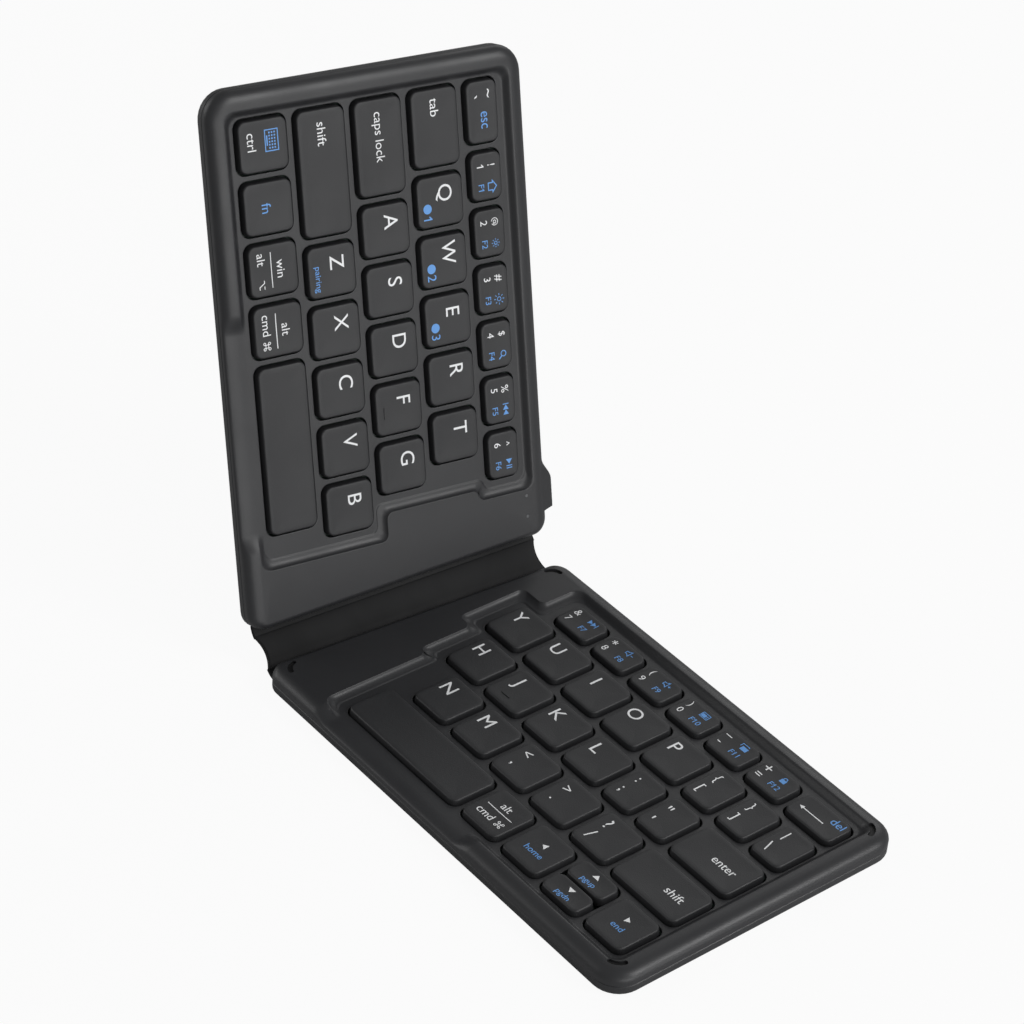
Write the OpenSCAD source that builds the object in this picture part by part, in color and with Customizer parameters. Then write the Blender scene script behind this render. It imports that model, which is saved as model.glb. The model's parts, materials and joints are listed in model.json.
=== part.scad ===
/* [Keys] */
// Width of a letter key's cap
key_w = 15.5; // [14:0.1:17]
// Depth of a letter key's cap, front to back
key_d = 16.2; // [14:0.1:17.5]
// Width of a number key's cap
number_w = 14.7; // [13:0.1:16]
// Depth of a number key's cap
number_d = 11.1; // [9:0.1:13]
// Width of the narrow punctuation keys
narrow_w = 12.1; // [10.5:0.1:14]
// Gap between caps side by side
key_gap = 2.5; // [2:0.1:3.5]
// Gap between one row of caps and the next
row_gap = 2.8; // [2:0.1:4]
// Width of the escape key
escape_w = 18.9; // [15:0.1:20]
// Width of the tab key
tab_w = 23.2; // [20:0.1:25]
// Width of the capitals key
capitals_w = 28.6; // [26:0.1:30]
// Width of the left shift key
left_shift_w = 37.3; // [34:0.1:38]
// Width of each half of the space bar
space_w = 50.7; // [40:0.1:52]
// Width of the delete key
delete_w = 18.7; // [15:0.1:20]
// Width of the enter key
enter_w = 24.5; // [20:0.1:26]
// Width of the right shift key
right_shift_w = 26.8; // [22:0.1:30]
// Height of a cap from its skirt to its top
cap_h = 2.7; // [2.4:0.1:3.6]
// Thickness of a cap's skirt
cap_wall = 1; // [0.7:0.1:1.4]
// Thickness of a cap's top
cap_top_t = 0.9; // [0.6:0.1:1.2]
// Radius of a cap's corners in plan
cap_r = 2.4; // [1.2:0.1:3.5]
// How far a key travels
travel = 1.5; // [0.8:0.1:2]
// How far a cap stands above the deck
cap_proud = 1.6; // [1.2:0.1:2.2]

/* [Halves] */
// Outer edge of a half to the caps
side_margin = 9.2; // [8:0.1:14]
// Front edge of a half to the caps
front_margin = 8.9; // [8:0.1:14]
// Back edge of a half to the caps
back_margin = 9.5; // [8.5:0.1:14]
// Hinge edge to the longest row, at mid-depth
platform_w = 15.7; // [14:0.1:22]
// Angle between the hinge edge and the key columns
slant = 4.5; // [2:0.5:6]
// Depth of the well that the keys stand in
well_depth = 1.8; // [1:0.1:2.4]
// Width of the rim's outer roll
roll_w = 4.6; // [3:0.1:6]
// Height of the rim's outer roll
roll_h = 3; // [1.5:0.1:3.6]
// Radius of the outer corners
outer_r = 8.5; // [7:0.1:11]
// Radius of the hinge-side corners
hinge_r = 5.5; // [4:0.1:8]
// Thickness of the shells' side walls
shell_wall = 1.8; // [1.2:0.1:2.2]
// Thickness of the bottom cover's floor
floor_t = 1.4; // [1.2:0.1:2]
// Height of the seam between cover and frame
seam_z = 3.2; // [2.8:0.1:3.8]
// Thickness of the deck between the keys
deck_t = 1.2; // [0.8:0.1:1.5]
// Thickness of the flat platform beside the hinge
platform_t = 1.2; // [0.8:0.1:1.6]
// Clearance round each cap where it passes the deck
cap_clear = 0.35; // [0.2:0.05:0.6]

/* [Spine] */
// Angle that the right hinge is bent by, at rest
bend_right = 38; // [20:1:60]
// Angle that the left hinge is bent by, at rest
bend_left = 32.5; // [10:0.5:60]
// Thickness of the spine band
band_t = 2; // [1.6:0.1:2.4]
// Length of the spine band
band_len = 98; // [80:1:99]
// How far the band's ends curve inwards
band_waist = 1.6; // [0.5:0.1:3]
// Thickness of the flexing webs
web_t = 1.2; // [0.8:0.1:1.4]
// Hinge axis to the edge of a half
edge_gap = 1.5; // [1.3:0.1:2.2]
// Gap between the two rims when folded shut
fold_gap = 1; // [0.8:0.1:2]
// Width of the flat cable
cable_w = 10; // [6:0.5:14]
// Thickness of the flat cable
cable_t = 0.2; // [0.1:0.05:0.3]
// How far the flat cable reaches into each half
cable_reach = 9; // [6:0.5:14]

/* [Inside] */
// Thickness of the base plates
plate_t = 0.8; // [0.5:0.1:1]
// Thickness of the switch membranes
membrane_t = 0.3; // [0.2:0.05:0.5]
// Radius of a rubber dome
dome_r = 2.3; // [1.8:0.1:2.4]
// Thickness of a scissor arm
arm_t = 0.6; // [0.5:0.05:0.7]
// Length of the battery
battery_len = 50; // [30:1:52]
// Gap between the battery and the platform's wall
battery_gap = 2.3; // [0.5:0.1:5]
// Thickness of the battery
battery_t = 3.4; // [2:0.1:3.6]
// Thickness of the circuit board
board_t = 1; // [0.6:0.1:1]
// Width of the charging socket
port_w = 8.9; // [7:0.1:9.2]
// Height of the charging socket
port_h = 3.2; // [2.4:0.1:3.3]
// Length of the charging socket
port_len = 7.3; // [6:0.1:8]
// How far the socket's housing stands out of the back edge
housing_out = 2.6; // [1.5:0.1:3.5]
// Hinge edge to the middle of the socket, at mid-depth
port_a = 16.3; // [15:0.1:16.6]
// Radius of an indicator light
light_r = 0.45; // [0.3:0.05:0.7]
// Distance between the two indicator lights
light_pitch = 6.6; // [4:0.1:8]

/* [Fasteners and pads] */
// Radius of a screw's shank
screw_r = 0.7; // [0.5:0.05:0.9]
// Radius of a screw's head
screw_head_r = 1.4; // [1.1:0.1:1.6]
// Thickness of a screw's head
screw_head_t = 0.6; // [0.4:0.1:0.7]
// Radius of a screw boss
boss_r = 1.7; // [1.5:0.1:1.9]
// Length of a rubber foot
foot_len = 16; // [8:0.5:24]
// Width of a rubber foot
foot_w = 4; // [3:0.1:6]
// How far the feet stand out
foot_proud = 0.4; // [0.2:0.1:0.8]
// Radius of a corner bumper's crescent
bumper_r = 3.8; // [2.5:0.1:4.2]
// Width of a corner bumper's crescent
bumper_w = 1.3; // [0.8:0.1:1.6]
// How far the corner bumpers stand out
bumper_proud = 0.3; // [0.1:0.1:0.5]

/* [Hidden] */
// Keys of each half by row, back row first, widths from the outer edge towards the hinge
left_rows = [[escape_w, for (i = [1:6]) number_w], [tab_w, for (i = [1:5]) key_w],
             [capitals_w, for (i = [1:5]) key_w], [left_shift_w, for (i = [1:5]) key_w],
             [key_w, key_w, key_w, key_w, space_w]];
right_rows = [[delete_w, for (i = [1:6]) number_w], [narrow_w, narrow_w, narrow_w, for (i = [1:5]) key_w],
              [enter_w, narrow_w, narrow_w, for (i = [1:4]) key_w], [right_shift_w, for (i = [1:5]) key_w],
              [key_w, key_w, key_w, key_w, space_w]];
function rows(side) = side == "left" ? left_rows : right_rows;
function sum(v, n, i = 0) = i >= n ? 0 : v[i] + sum(v, n, i + 1);
function row_len(row) = sum(row, len(row)) + key_gap * (len(row) - 1);
longest_row = max([for (r = concat(left_rows, right_rows)) row_len(r)]);

// A half's plan has its origin in the middle of the hinge edge, a runs outwards and b to the back
half_w = side_margin + longest_row + platform_w;
depth = front_margin + 4 * (key_d + row_gap) + number_d + back_margin;
front_b = -depth / 2;
back_b = depth / 2;
bottom_row_b = front_b + front_margin + key_d / 2;
row_pitch = key_d + row_gap;
function row_depth(row) = row == 0 ? number_d : key_d;
function row_b(row) = bottom_row_b + (4 - row) * row_pitch - (row == 0 ? (key_d - number_d) / 2 : 0);
function key_a(side, row, i) = half_w - side_margin - sum(rows(side)[row], i) - key_gap * i
    - rows(side)[row][i] / 2;
function row_end(side, row) = half_w - side_margin - row_len(rows(side)[row]);

// Heights above the underside
plate_z = floor_t;
membrane_z = plate_z + plate_t;
switch_z = membrane_z + membrane_t;
skirt_room = 0.5;
skirt_z = switch_z + travel + skirt_room;
cap_z = skirt_z + cap_h;
ceiling_z = cap_z - cap_top_t;
deck_z = cap_z - cap_proud;
rim_z = deck_z + well_depth;
dome_h = skirt_z - switch_z;
rest_gap = 0.2;

// Plan of the well and the platform
rim_w = 6.6;
rim_front_w = 5.6;
wall_run = 1.6;
wall_steps = 3;
left_row_clear = 4;
right_row_clear = 4.9;
well_r = 3.4;
step_r = 2.2;
step_shift = 1.4;
scoop_ramp = 7;
scoop_lead = 17.5;
scoop_tail = 5;
cap_corner_steps = 4;

// Spine
axis_z = band_t / 2;
spine_w = 2 * (rim_z - axis_z) + fold_gap;
cable_slot = 0.15;
cable_steps = 12;
cable_floor = axis_z - cable_t / 2 - 0.1;

// Fixings
screw_inset = 4.1;
screw_clear = 0.06;
pocket_clear = 0.1;
foot_inset = 13;
foot_pocket = 0.6;
bumper_inset = 8.6;
bumper_hinge_inset = 6.8;
bumper_pocket = 0.9;

// Board and socket
board_edge = 2.6;
board_w = 8.6;
board_b0 = front_b + 11;
board_b1 = back_b - shell_wall - 0.3;
port_b1 = back_b + housing_out;
port_z = floor_t + board_t;
housing_slope = 6.5;
housing_w = port_w + 0.2;
housing_top = port_z + port_h + 0.9;
light_b = back_b - 7.8;

// Origin: the underside of the right half, this far from its hinge axis
origin_x = 80;

// Names, side and [row, place in the row] of the keys; half 1 is the upper and 2 the lower of a split key
KEYS = [
    ["key_q", "left", [[1, 1]]], ["key_w", "left", [[1, 2]]], ["key_e", "left", [[1, 3]]],
    ["key_r", "left", [[1, 4]]], ["key_t", "left", [[1, 5]]], ["key_a", "left", [[2, 1]]],
    ["key_s", "left", [[2, 2]]], ["key_d", "left", [[2, 3]]], ["key_f", "left", [[2, 4]]],
    ["key_g", "left", [[2, 5]]], ["key_z", "left", [[3, 1]]], ["key_x", "left", [[3, 2]]],
    ["key_c", "left", [[3, 3]]], ["key_v", "left", [[3, 4]]], ["key_b", "left", [[3, 5]]],
    ["left_shift_key", "left", [[3, 0]]], ["left_space_bar", "left", [[4, 4]]],
    ["left_number_keys", "left", [for (i = [0:6]) [0, i]]],
    ["left_side_keys", "left", [[1, 0], [2, 0], for (i = [0:3]) [4, i]]],
    ["key_p", "right", [[1, 3]]], ["key_o", "right", [[1, 4]]], ["key_i", "right", [[1, 5]]],
    ["key_u", "right", [[1, 6]]], ["key_y", "right", [[1, 7]]], ["key_l", "right", [[2, 3]]],
    ["key_k", "right", [[2, 4]]], ["key_j", "right", [[2, 5]]], ["key_h", "right", [[2, 6]]],
    ["key_m", "right", [[3, 4]]], ["key_n", "right", [[3, 5]]],
    ["right_shift_key", "right", [[3, 0]]], ["enter_key", "right", [[2, 0]]],
    ["right_space_bar", "right", [[4, 4]]],
    ["right_number_keys", "right", [for (i = [0:6]) [0, i]]],
    ["punctuation_keys", "right", [[1, 0], [1, 1], [1, 2], [2, 1], [2, 2], [3, 1], [3, 2], [3, 3]]],
    ["arrow_keys", "right", [[4, 0], [4, 1, 1], [4, 1, 2], [4, 2], [4, 3]]]];

// Plan outline with rounded corners: points in order, one radius for each
function unit(v) = v / norm(v);
function corner(p, q, s, r, n) =
    let (u = unit(p - q), v = unit(s - q), half = acos(u * v) / 2,
         c = q + unit(u + v) * r / sin(half), start = q + u * r / tan(half) - c,
         turn = (u[0] * v[1] - u[1] * v[0] > 0 ? -1 : 1) * (180 - 2 * half))
    [for (i = [0:n]) let (t = turn * i / n)
        c + [start[0] * cos(t) - start[1] * sin(t), start[0] * sin(t) + start[1] * cos(t)]];
function rounded(pts, radii, n = 6) = let (m = len(pts))
    [for (i = [0:m - 1]) each corner(pts[(i + m - 1) % m], pts[i], pts[(i + 1) % m], radii[i], n)];

// Outline of a half, moved in by inset, and by hinge_inset at the hinge edge
function half_plan(inset, hinge_inset) =
    let (f = front_b + inset, k = back_b - inset, o = half_w - inset, h = hinge_inset / cos(slant),
         ro = max(outer_r - inset, 1), rh = max(hinge_r - inset, 1))
    rounded([[f * tan(slant) + h, f], [o, f], [o, k], [k * tan(slant) + h, k]], [rh, ro, ro, rh]);

// Rows of the well that share one hinge-side wall: [first row, last row]
function bands(side) = side == "left" ? [[0, 0], [1, 2], [3, 4]] : [[0, 0], [1, 1], [2, 2], [3, 4]];
function band_a(side, band) = min([for (r = [band[0]:band[1]]) row_end(side, r)])
    - (side == "left" ? left_row_clear : right_row_clear);
function between_rows(row) = row_b(row + 1) + key_d / 2 + row_gap / 2;
// Hinge-side wall from back to front: where two bands meet, the wider one reaches past the middle of the gap
function well_steps(side, grow) = let (bs = bands(side))
    [for (i = [0:len(bs) - 2])
        let (a0 = band_a(side, bs[i]), a1 = band_a(side, bs[i + 1]), s = a1 < a0 ? 1 : -1,
             b = between_rows(bs[i][1]) + s * (step_shift + grow))
        each [[a0 - grow, b], [a1 - grow, b]]];
function well_plan(side, grow) =
    let (bs = bands(side), o = half_w - rim_w + grow, k = back_b - rim_front_w + grow,
         f = front_b + rim_front_w - grow, s = well_steps(side, grow),
         pts = concat([[band_a(side, bs[0]) - grow, k]], s,
                      [[band_a(side, bs[len(bs) - 1]) - grow, f], [o, f], [o, k]]))
    rounded(pts, [well_r, for (p = s) step_r, well_r, well_r, well_r], 4);

function key_plan(w, d, r) = rounded([[-w / 2, -d / 2], [w / 2, -d / 2], [w / 2, d / 2], [-w / 2, d / 2]],
                                     [r, r, r, r], cap_corner_steps);
// Key places as [a, b, width, depth]; the upper and lower arrow keys share one place
split_gap = 0.5;
split_extra = 0.5;
split_d = key_d / 2 + split_extra - split_gap / 2;
function key_box(side, k) = let (a = key_a(side, k[0], k[1]), b = row_b(k[0]), w = rows(side)[k[0]][k[1]],
                                 s = k[2] == 1 ? 1 : -1)
    len(k) == 2 ? [a, b, w, row_depth(k[0])] : [a, b + s * (split_d + split_gap) / 2, w, split_d];
function all_keys(side) = [for (k = KEYS) if (k[1] == side) each [for (p = k[2]) key_box(side, p)]];
// Deck openings: one for each place, so the split pair shares one
function openings(side) = [for (r = [0:4]) for (i = [0:len(rows(side)[r]) - 1])
    let (split = side == "right" && r == 4 && i == 1)
    [key_a(side, r, i), row_b(r), rows(side)[r][i], row_depth(r) + (split ? 2 * split_extra : 0)]];

// Places
module right_place() translate([-origin_x, 0, 0]) children();
module spine_place() translate([-origin_x, 0, axis_z]) rotate([0, bend_right, 0]) children();
module left_place() spine_place() translate([-spine_w, 0, 0]) rotate([0, bend_left, 0])
    translate([0, 0, -axis_z]) mirror([1, 0, 0]) children();
module place(side) {
    if (side == "left") left_place() plan() children();
    if (side == "right") right_place() plan() children();
}
module plan() translate([edge_gap, 0, 0]) rotate([0, 0, slant]) children();
module slab(z0, z1, pts) translate([0, 0, z0]) linear_extrude(z1 - z0) polygon(pts);

// Corner places of a half: [a, b, direction of the corner], moved in from the edges
function corners(inset, hinge_inset) = [
    [(front_b + inset) * tan(slant) + hinge_inset, front_b + inset, 225],
    [half_w - inset, front_b + inset, 315], [half_w - inset, back_b - inset, 45],
    [(back_b - inset) * tan(slant) + hinge_inset, back_b - inset, 135]];
screw_spots = concat([for (c = corners(screw_inset, screw_inset + 0.6)) [c[0], c[1]]],
                     [for (b = [front_b + screw_inset, back_b - screw_inset]) [half_w / 2, b]]);

// Socket housing on the left half's back edge
housing_plan = [[port_a - housing_w / 2 - 0.8, back_b - 4], [port_a + housing_w / 2 + housing_slope, back_b - 4],
                [port_a + housing_w / 2 + housing_slope, back_b - 0.6], [port_a + housing_w / 2, port_b1],
                [port_a - housing_w / 2, port_b1], [port_a - housing_w / 2 - 0.8, back_b - 0.6]];
module port_cut(z0, z1) translate([port_a - port_w / 2 - pocket_clear, port_b1 - port_len - pocket_clear, z0])
    cube([port_w + 2 * pocket_clear, port_len + 1, z1 - z0]);

module scoop_cut() {
    a1 = half_w - side_margin - sum([for (i = [0:3]) key_w], 4) - 4 * key_gap + scoop_lead;
    a0 = a1 - scoop_lead - space_w - scoop_tail;
    translate([0, front_b + rim_front_w + wall_run, 0]) rotate([90, 0, 0])
        linear_extrude(rim_front_w + wall_run + 1)
        polygon([[a0, rim_z + 1], [a0, rim_z], [a0 + scoop_ramp, deck_z], [a1 - scoop_ramp, deck_z],
                 [a1, rim_z], [a1, rim_z + 1]]);
}

module bumper_shape(c, w, h) translate([c[0], c[1], 0]) rotate([0, 0, c[2] - 45])
    rotate_extrude(angle = 90, $fn = 48) translate([bumper_r - w / 2, 0]) square([w, h]);

module top_frame(side) {
    roll_steps = 5;
    difference() {
        union() {
            difference() {
                union() {
                    slab(seam_z, rim_z - roll_h, half_plan(0, 0));
                    for (i = [0:roll_steps - 1]) {
                        t = 90 * (i + 0.5) / roll_steps;
                        in = roll_w * (1 - cos(t));
                        slab(rim_z - roll_h + roll_h * i / roll_steps, rim_z - roll_h + roll_h * (i + 1) / roll_steps,
                             half_plan(in, in / 2));
                    }
                    if (side == "left") slab(seam_z, housing_top, housing_plan);
                }
                slab(seam_z - 1, deck_z - deck_t, half_plan(shell_wall, shell_wall));
                intersection() {
                    slab(seam_z - 1, rim_z - platform_t, half_plan(roll_w, shell_wall + 0.6));
                    difference() {
                        translate([-depth, -depth, 0]) cube([depth + half_w / 3, 2 * depth, rim_z]);
                        slab(0, rim_z, well_plan(side, wall_run));
                    }
                }
            }
            for (s = screw_spots) translate([s[0], s[1], floor_t]) cylinder(h = deck_z - deck_t - floor_t + 0.3,
                                                                         r = boss_r, $fn = 32);
        }
        for (i = [0:wall_steps - 1])
            slab(deck_z + well_depth * i / wall_steps, deck_z + well_depth * (i + 1) / wall_steps + 0.01 * i,
                 well_plan(side, wall_run * (i + 0.5) / wall_steps - wall_run));
        scoop_cut();
        for (k = openings(side)) translate([k[0], k[1], 0])
            slab(seam_z, deck_z + 1, key_plan(k[2] + 2 * cap_clear, k[3] + 2 * cap_clear, cap_r + cap_clear));
        for (s = screw_spots) translate([s[0], s[1], 0])
            cylinder(h = deck_z - deck_t, r = screw_r + screw_clear, $fn = 32);
        if (side == "left") {
            port_cut(port_z - pocket_clear, port_z + port_h + pocket_clear);
            for (s = [-1, 1]) translate([port_a - 2 + s * light_pitch / 2, light_b, 0])
                cylinder(h = rim_z + 1, r = light_r + pocket_clear / 2, $fn = 32);
        } else
            for (c = corners(bumper_inset, bumper_hinge_inset))
                translate([0, 0, rim_z - bumper_pocket]) bumper_shape(c, bumper_w + pocket_clear, 2);
    }
}

module bottom_cover(side) {
    difference() {
        union() {
            slab(0, 0.5, half_plan(1, 0.8));
            slab(0.5, 1, half_plan(0.35, 0.3));
            slab(1, seam_z, half_plan(0, 0));
            if (side == "left") slab(1, seam_z, housing_plan);
        }
        slab(floor_t, seam_z + 1, half_plan(shell_wall, shell_wall));
        for (s = screw_spots) translate([s[0], s[1], -1]) {
            cylinder(h = floor_t + 2, r = screw_r + screw_clear, $fn = 32);
            cylinder(h = screw_head_t + 1, r = screw_head_r + pocket_clear, $fn = 32);
            translate([0, 0, floor_t + 1]) cylinder(h = seam_z, r = boss_r + pocket_clear, $fn = 32);
        }
        foot_spots() slab(-1, foot_pocket, key_plan(foot_len + 2 * pocket_clear, foot_w + 2 * pocket_clear, foot_w / 2));
        if (side == "left") port_cut(port_z - pocket_clear, seam_z + 1);
        rotate([0, 0, -slant]) translate([-1, -cable_w / 2 - cable_slot, cable_floor])
            cube([cable_reach + 1 + cable_slot, cable_w + 2 * cable_slot, floor_t - cable_floor + 0.01]);
    }
}

module foot_spots() for (c = corners(foot_inset, foot_inset)) translate([c[0], c[1], 0]) children();

module screws() for (s = screw_spots) translate([s[0], s[1], 0]) {
    cylinder(h = screw_head_t, r = screw_head_r, $fn = 32);
    cylinder(h = deck_z - deck_t - rest_gap, r = screw_r, $fn = 32);
}

module dome(r) translate([0, 0, switch_z]) rotate_extrude($fn = 24)
    polygon([[0, 0], [r + 0.3, 0], [r + 0.3, 0.3], [r, 0.5], [r * 0.6, dome_h - 0.8], [r * 0.6, dome_h - rest_gap],
             [0, dome_h - rest_gap]]);

// Half sizes of a key's scissor: [arm length, outer arm, inner arm, dome]
function inside(k) = let (l = min(5, k[2] / 2 - cap_wall - 0.6), o = min(4.9, k[3] / 2 - cap_wall - 0.6),
                          i = o - arm_t - 0.2)
    [l, o, i, min(dome_r, i - arm_t / 2 - 0.35)];

module scissor_frame(l, b) {
    z = (switch_z + ceiling_z) / 2;
    rise = (ceiling_z - switch_z - arm_t) / 2 - 0.1;
    angle = asin(rise / l);
    translate([0, 0, z]) rotate([0, -angle, 0]) {
        for (s = [-1, 1]) translate([-l, s * b - arm_t / 2, -arm_t / 2]) cube([2 * l, arm_t, arm_t]);
        for (s = [-1, 1]) translate([s * l - (s + 1) * arm_t / 2, -b, -arm_t / 2]) cube([arm_t, 2 * b, arm_t]);
    }
}

module stabiliser(w, b) {
    wire_r = 0.35;
    leg_r = 0.28;
    l = w / 2 - cap_wall - 1.2;
    z = ceiling_z - wire_r - 0.15;
    translate([-l, b, z]) rotate([0, 90, 0]) cylinder(h = 2 * l, r = wire_r, $fn = 16);
    for (s = [-1, 1]) translate([s * (l - 1), b, switch_z + 0.05]) cylinder(h = z - switch_z, r = leg_r, $fn = 16);
}

module scissors(side) for (k = all_keys(side)) translate([k[0], k[1], 0]) {
    s = inside(k);
    scissor_frame(s[0], s[1]);
    mirror([1, 0, 0]) scissor_frame(s[0], s[2]);
    if (k[2] > 22) stabiliser(k[2], k[3] / 2 - cap_wall - 0.7);
}

module cap(k) {
    w = k[2];
    d = k[3];
    translate([k[0], k[1], 0]) {
        difference() {
            union() {
                slab(skirt_z, cap_z - 0.9, key_plan(w, d, cap_r));
                slab(cap_z - 0.9, cap_z - 0.3, key_plan(w - 0.3, d - 0.3, cap_r));
                slab(cap_z - 0.3, cap_z, key_plan(w - 0.8, d - 0.8, cap_r - 0.2));
            }
            slab(skirt_z - 1, ceiling_z, key_plan(w - 2 * cap_wall, d - 2 * cap_wall, cap_r - 1));
        }
        translate([0, 0, skirt_z]) cylinder(h = ceiling_z - skirt_z + 0.1, r = inside(k)[3] * 0.6, $fn = 24);
    }
}

// Spine pieces: the right axis is the origin and the band lies along -X
module arc_web(angle, t, w) {
    r = edge_gap / tan(angle / 2);
    translate([edge_gap, 0, r]) rotate([90, 0, 0]) rotate([0, 0, 270 - angle])
        rotate_extrude(angle = angle, $fn = 96) translate([r - t / 2, -w / 2]) square([t, w]);
}
module left_web_place() translate([-spine_w, 0, 0]) rotate([0, bend_left, 0]) mirror([1, 0, 0]) children();

module spine_band() color([0.13, 0.13, 0.14]) spine_place() {
    w = spine_w - 2 * edge_gap;
    end_r = (w * w / 4 + band_waist * band_waist) / (2 * band_waist);
    difference() {
        translate([-edge_gap - w, -band_len / 2, -band_t / 2]) cube([w, band_len, band_t]);
        for (s = [-1, 1]) translate([-spine_w / 2, s * (band_len / 2 + end_r - band_waist), -band_t])
            cylinder(h = 2 * band_t, r = end_r, $fn = 96);
        translate([-spine_w, -cable_w / 2 - cable_slot, -cable_t / 2 - cable_slot])
            cube([spine_w, cable_w + 2 * cable_slot, cable_t + 2 * cable_slot]);
    }
}

module hinge_web(angle) difference() {
    arc_web(angle, web_t, band_len);
    arc_web(angle, cable_t + 2 * cable_slot, cable_w + 2 * cable_slot);
}
module hinge_webs() color([0.1, 0.1, 0.11]) {
    right_hinge() hinge_web(bend_right);
    spine_place() left_web_place() hinge_web(bend_left);
}
// The right axis with the half level: the web bends up from it to the band
module right_hinge() translate([-origin_x, 0, axis_z]) children();

// Side profile of the flat cable: s is 1 for the side towards the keys and -1 for the other
function web_arc(a, r, angle) = let (c = [a, edge_gap / tan(angle / 2)])
    [for (i = [0:cable_steps]) let (t = 270 - angle * i / cable_steps) c + r * [cos(t), sin(t)]];
function folded(v, t) = [v[0] * cos(t) + v[1] * sin(t), v[1] * cos(t) - v[0] * sin(t)];
function cable_side(s) =
    let (o = s * cable_t / 2, left_arc = web_arc(edge_gap - spine_w, edge_gap / tan(bend_left / 2) - o, bend_left),
         left_end = left_arc[cable_steps] + cable_reach * [-cos(bend_left), sin(bend_left)])
    concat([[edge_gap + cable_reach, o]], web_arc(edge_gap, edge_gap / tan(bend_right / 2) - o, bend_right),
           [for (p = concat(left_arc, [left_end])) folded(p, bend_right)]);
module flex_cable() color([0.75, 0.45, 0.12]) right_hinge() rotate([90, 0, 0])
    linear_extrude(cable_w, center = true) {
        far = cable_side(-1);
        polygon(concat(cable_side(1), [for (i = [len(far) - 1:-1:0]) far[i]]));
    }

module right_top_frame() color([0.16, 0.16, 0.17]) place("right") top_frame("right");
module left_top_frame() color([0.16, 0.16, 0.17]) place("left") top_frame("left");
module right_bottom_cover() color([0.14, 0.14, 0.15]) place("right") bottom_cover("right");
module left_bottom_cover() color([0.14, 0.14, 0.15]) place("left") bottom_cover("left");
module right_screws() color("silver") place("right") screws();
module left_screws() color("silver") place("left") screws();
module feet() foot_spots() slab(-foot_proud, foot_pocket - 0.01, key_plan(foot_len, foot_w, foot_w / 2 - 0.1));
module right_feet() color([0.08, 0.08, 0.08]) place("right") feet();
module left_feet() color([0.08, 0.08, 0.08]) place("left") feet();
module base_plate(side) slab(plate_z, plate_z + plate_t, well_plan(side, -wall_run - 0.8));
module right_base_plate() color([0.7, 0.71, 0.73]) place("right") base_plate("right");
module left_base_plate() color([0.7, 0.71, 0.73]) place("left") base_plate("left");
module membrane(side) slab(membrane_z, switch_z, well_plan(side, -wall_run - 1.4));
module right_membrane() color([0.8, 0.85, 0.8]) place("right") membrane("right");
module left_membrane() color([0.8, 0.85, 0.8]) place("left") membrane("left");
module domes(side) for (k = all_keys(side)) translate([k[0], k[1], 0]) dome(inside(k)[3]);
module right_rubber_domes() color([0.85, 0.85, 0.82]) place("right") domes("right");
module left_rubber_domes() color([0.85, 0.85, 0.82]) place("left") domes("left");
module right_scissors() color("white") place("right") scissors("right");
module left_scissors() color("white") place("left") scissors("left");

module corner_bumpers() color([0.06, 0.06, 0.06]) place("right")
    for (c = corners(bumper_inset, bumper_hinge_inset)) translate([0, 0, rim_z - bumper_pocket])
        bumper_shape(c, bumper_w, bumper_pocket + bumper_proud);

module battery() color([0.75, 0.76, 0.78]) place("right") {
    b1 = between_rows(1) - step_shift - wall_run - 0.3;
    a0 = b1 * tan(slant) + shell_wall + 1;
    a1 = min(band_a("right", [2, 2]), band_a("right", [3, 4])) - wall_run - battery_gap;
    translate([a0, b1 - battery_len, floor_t]) cube([a1 - a0, battery_len, battery_t]);
}

module main_board() color([0.05, 0.3, 0.15]) place("left") {
    a0 = back_b * tan(slant) + board_edge;
    chip_h = 1.2;
    tab_b = board_b1 - 9;
    tab_a0 = port_a - port_w / 2 - 0.7;
    tab_a1 = port_a + port_w / 2 - 0.4;
    notch_b = back_b - screw_inset - boss_r - 0.3;
    slab(floor_t, port_z, [[a0, board_b0], [a0 + board_w, board_b0], [a0 + board_w, tab_b], [tab_a1, tab_b],
                           [tab_a1, board_b1], [tab_a0, board_b1], [tab_a0, notch_b], [a0, notch_b]]);
    for (b = [board_b0 + 14, board_b0 + 34, board_b0 + 56])
        translate([a0 + 1.6, b, port_z]) cube([5.4, 5.4, chip_h]);
}

module charge_port() color("silver") place("left") translate([port_a, port_b1 - port_len, port_z]) {
    shell_t = 0.35;
    mouth = 5.5;
    difference() {
        translate([-port_w / 2, 0, 0]) cube([port_w, port_len, port_h]);
        translate([-port_w / 2 + shell_t, port_len - mouth, shell_t])
            cube([port_w - 2 * shell_t, mouth + 1, port_h - 2 * shell_t]);
    }
    translate([-port_w / 2 + 1.2, port_len - mouth - 0.1, port_h / 2 - 0.35]) cube([port_w - 2.4, mouth - 0.6, 0.7]);
}

module indicator_lights() color([0.9, 0.95, 1]) place("left")
    for (s = [-1, 1]) translate([port_a - 2 + s * light_pitch / 2, light_b, port_z])
        cylinder(h = rim_z - port_z, r = light_r, $fn = 32);

module key_group(k) color([0.15, 0.15, 0.16]) place(k[1]) for (p = k[2]) cap(key_box(k[1], p));

right_top_frame();
right_bottom_cover();
right_base_plate();
right_membrane();
right_rubber_domes();
right_scissors();
right_screws();
right_feet();
corner_bumpers();
battery();
left_top_frame();
left_bottom_cover();
left_base_plate();
left_membrane();
left_rubber_domes();
left_scissors();
left_screws();
left_feet();
main_board();
charge_port();
indicator_lights();
spine_band();
hinge_webs();
flex_cable();
for (k = KEYS) key_group(k);
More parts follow.
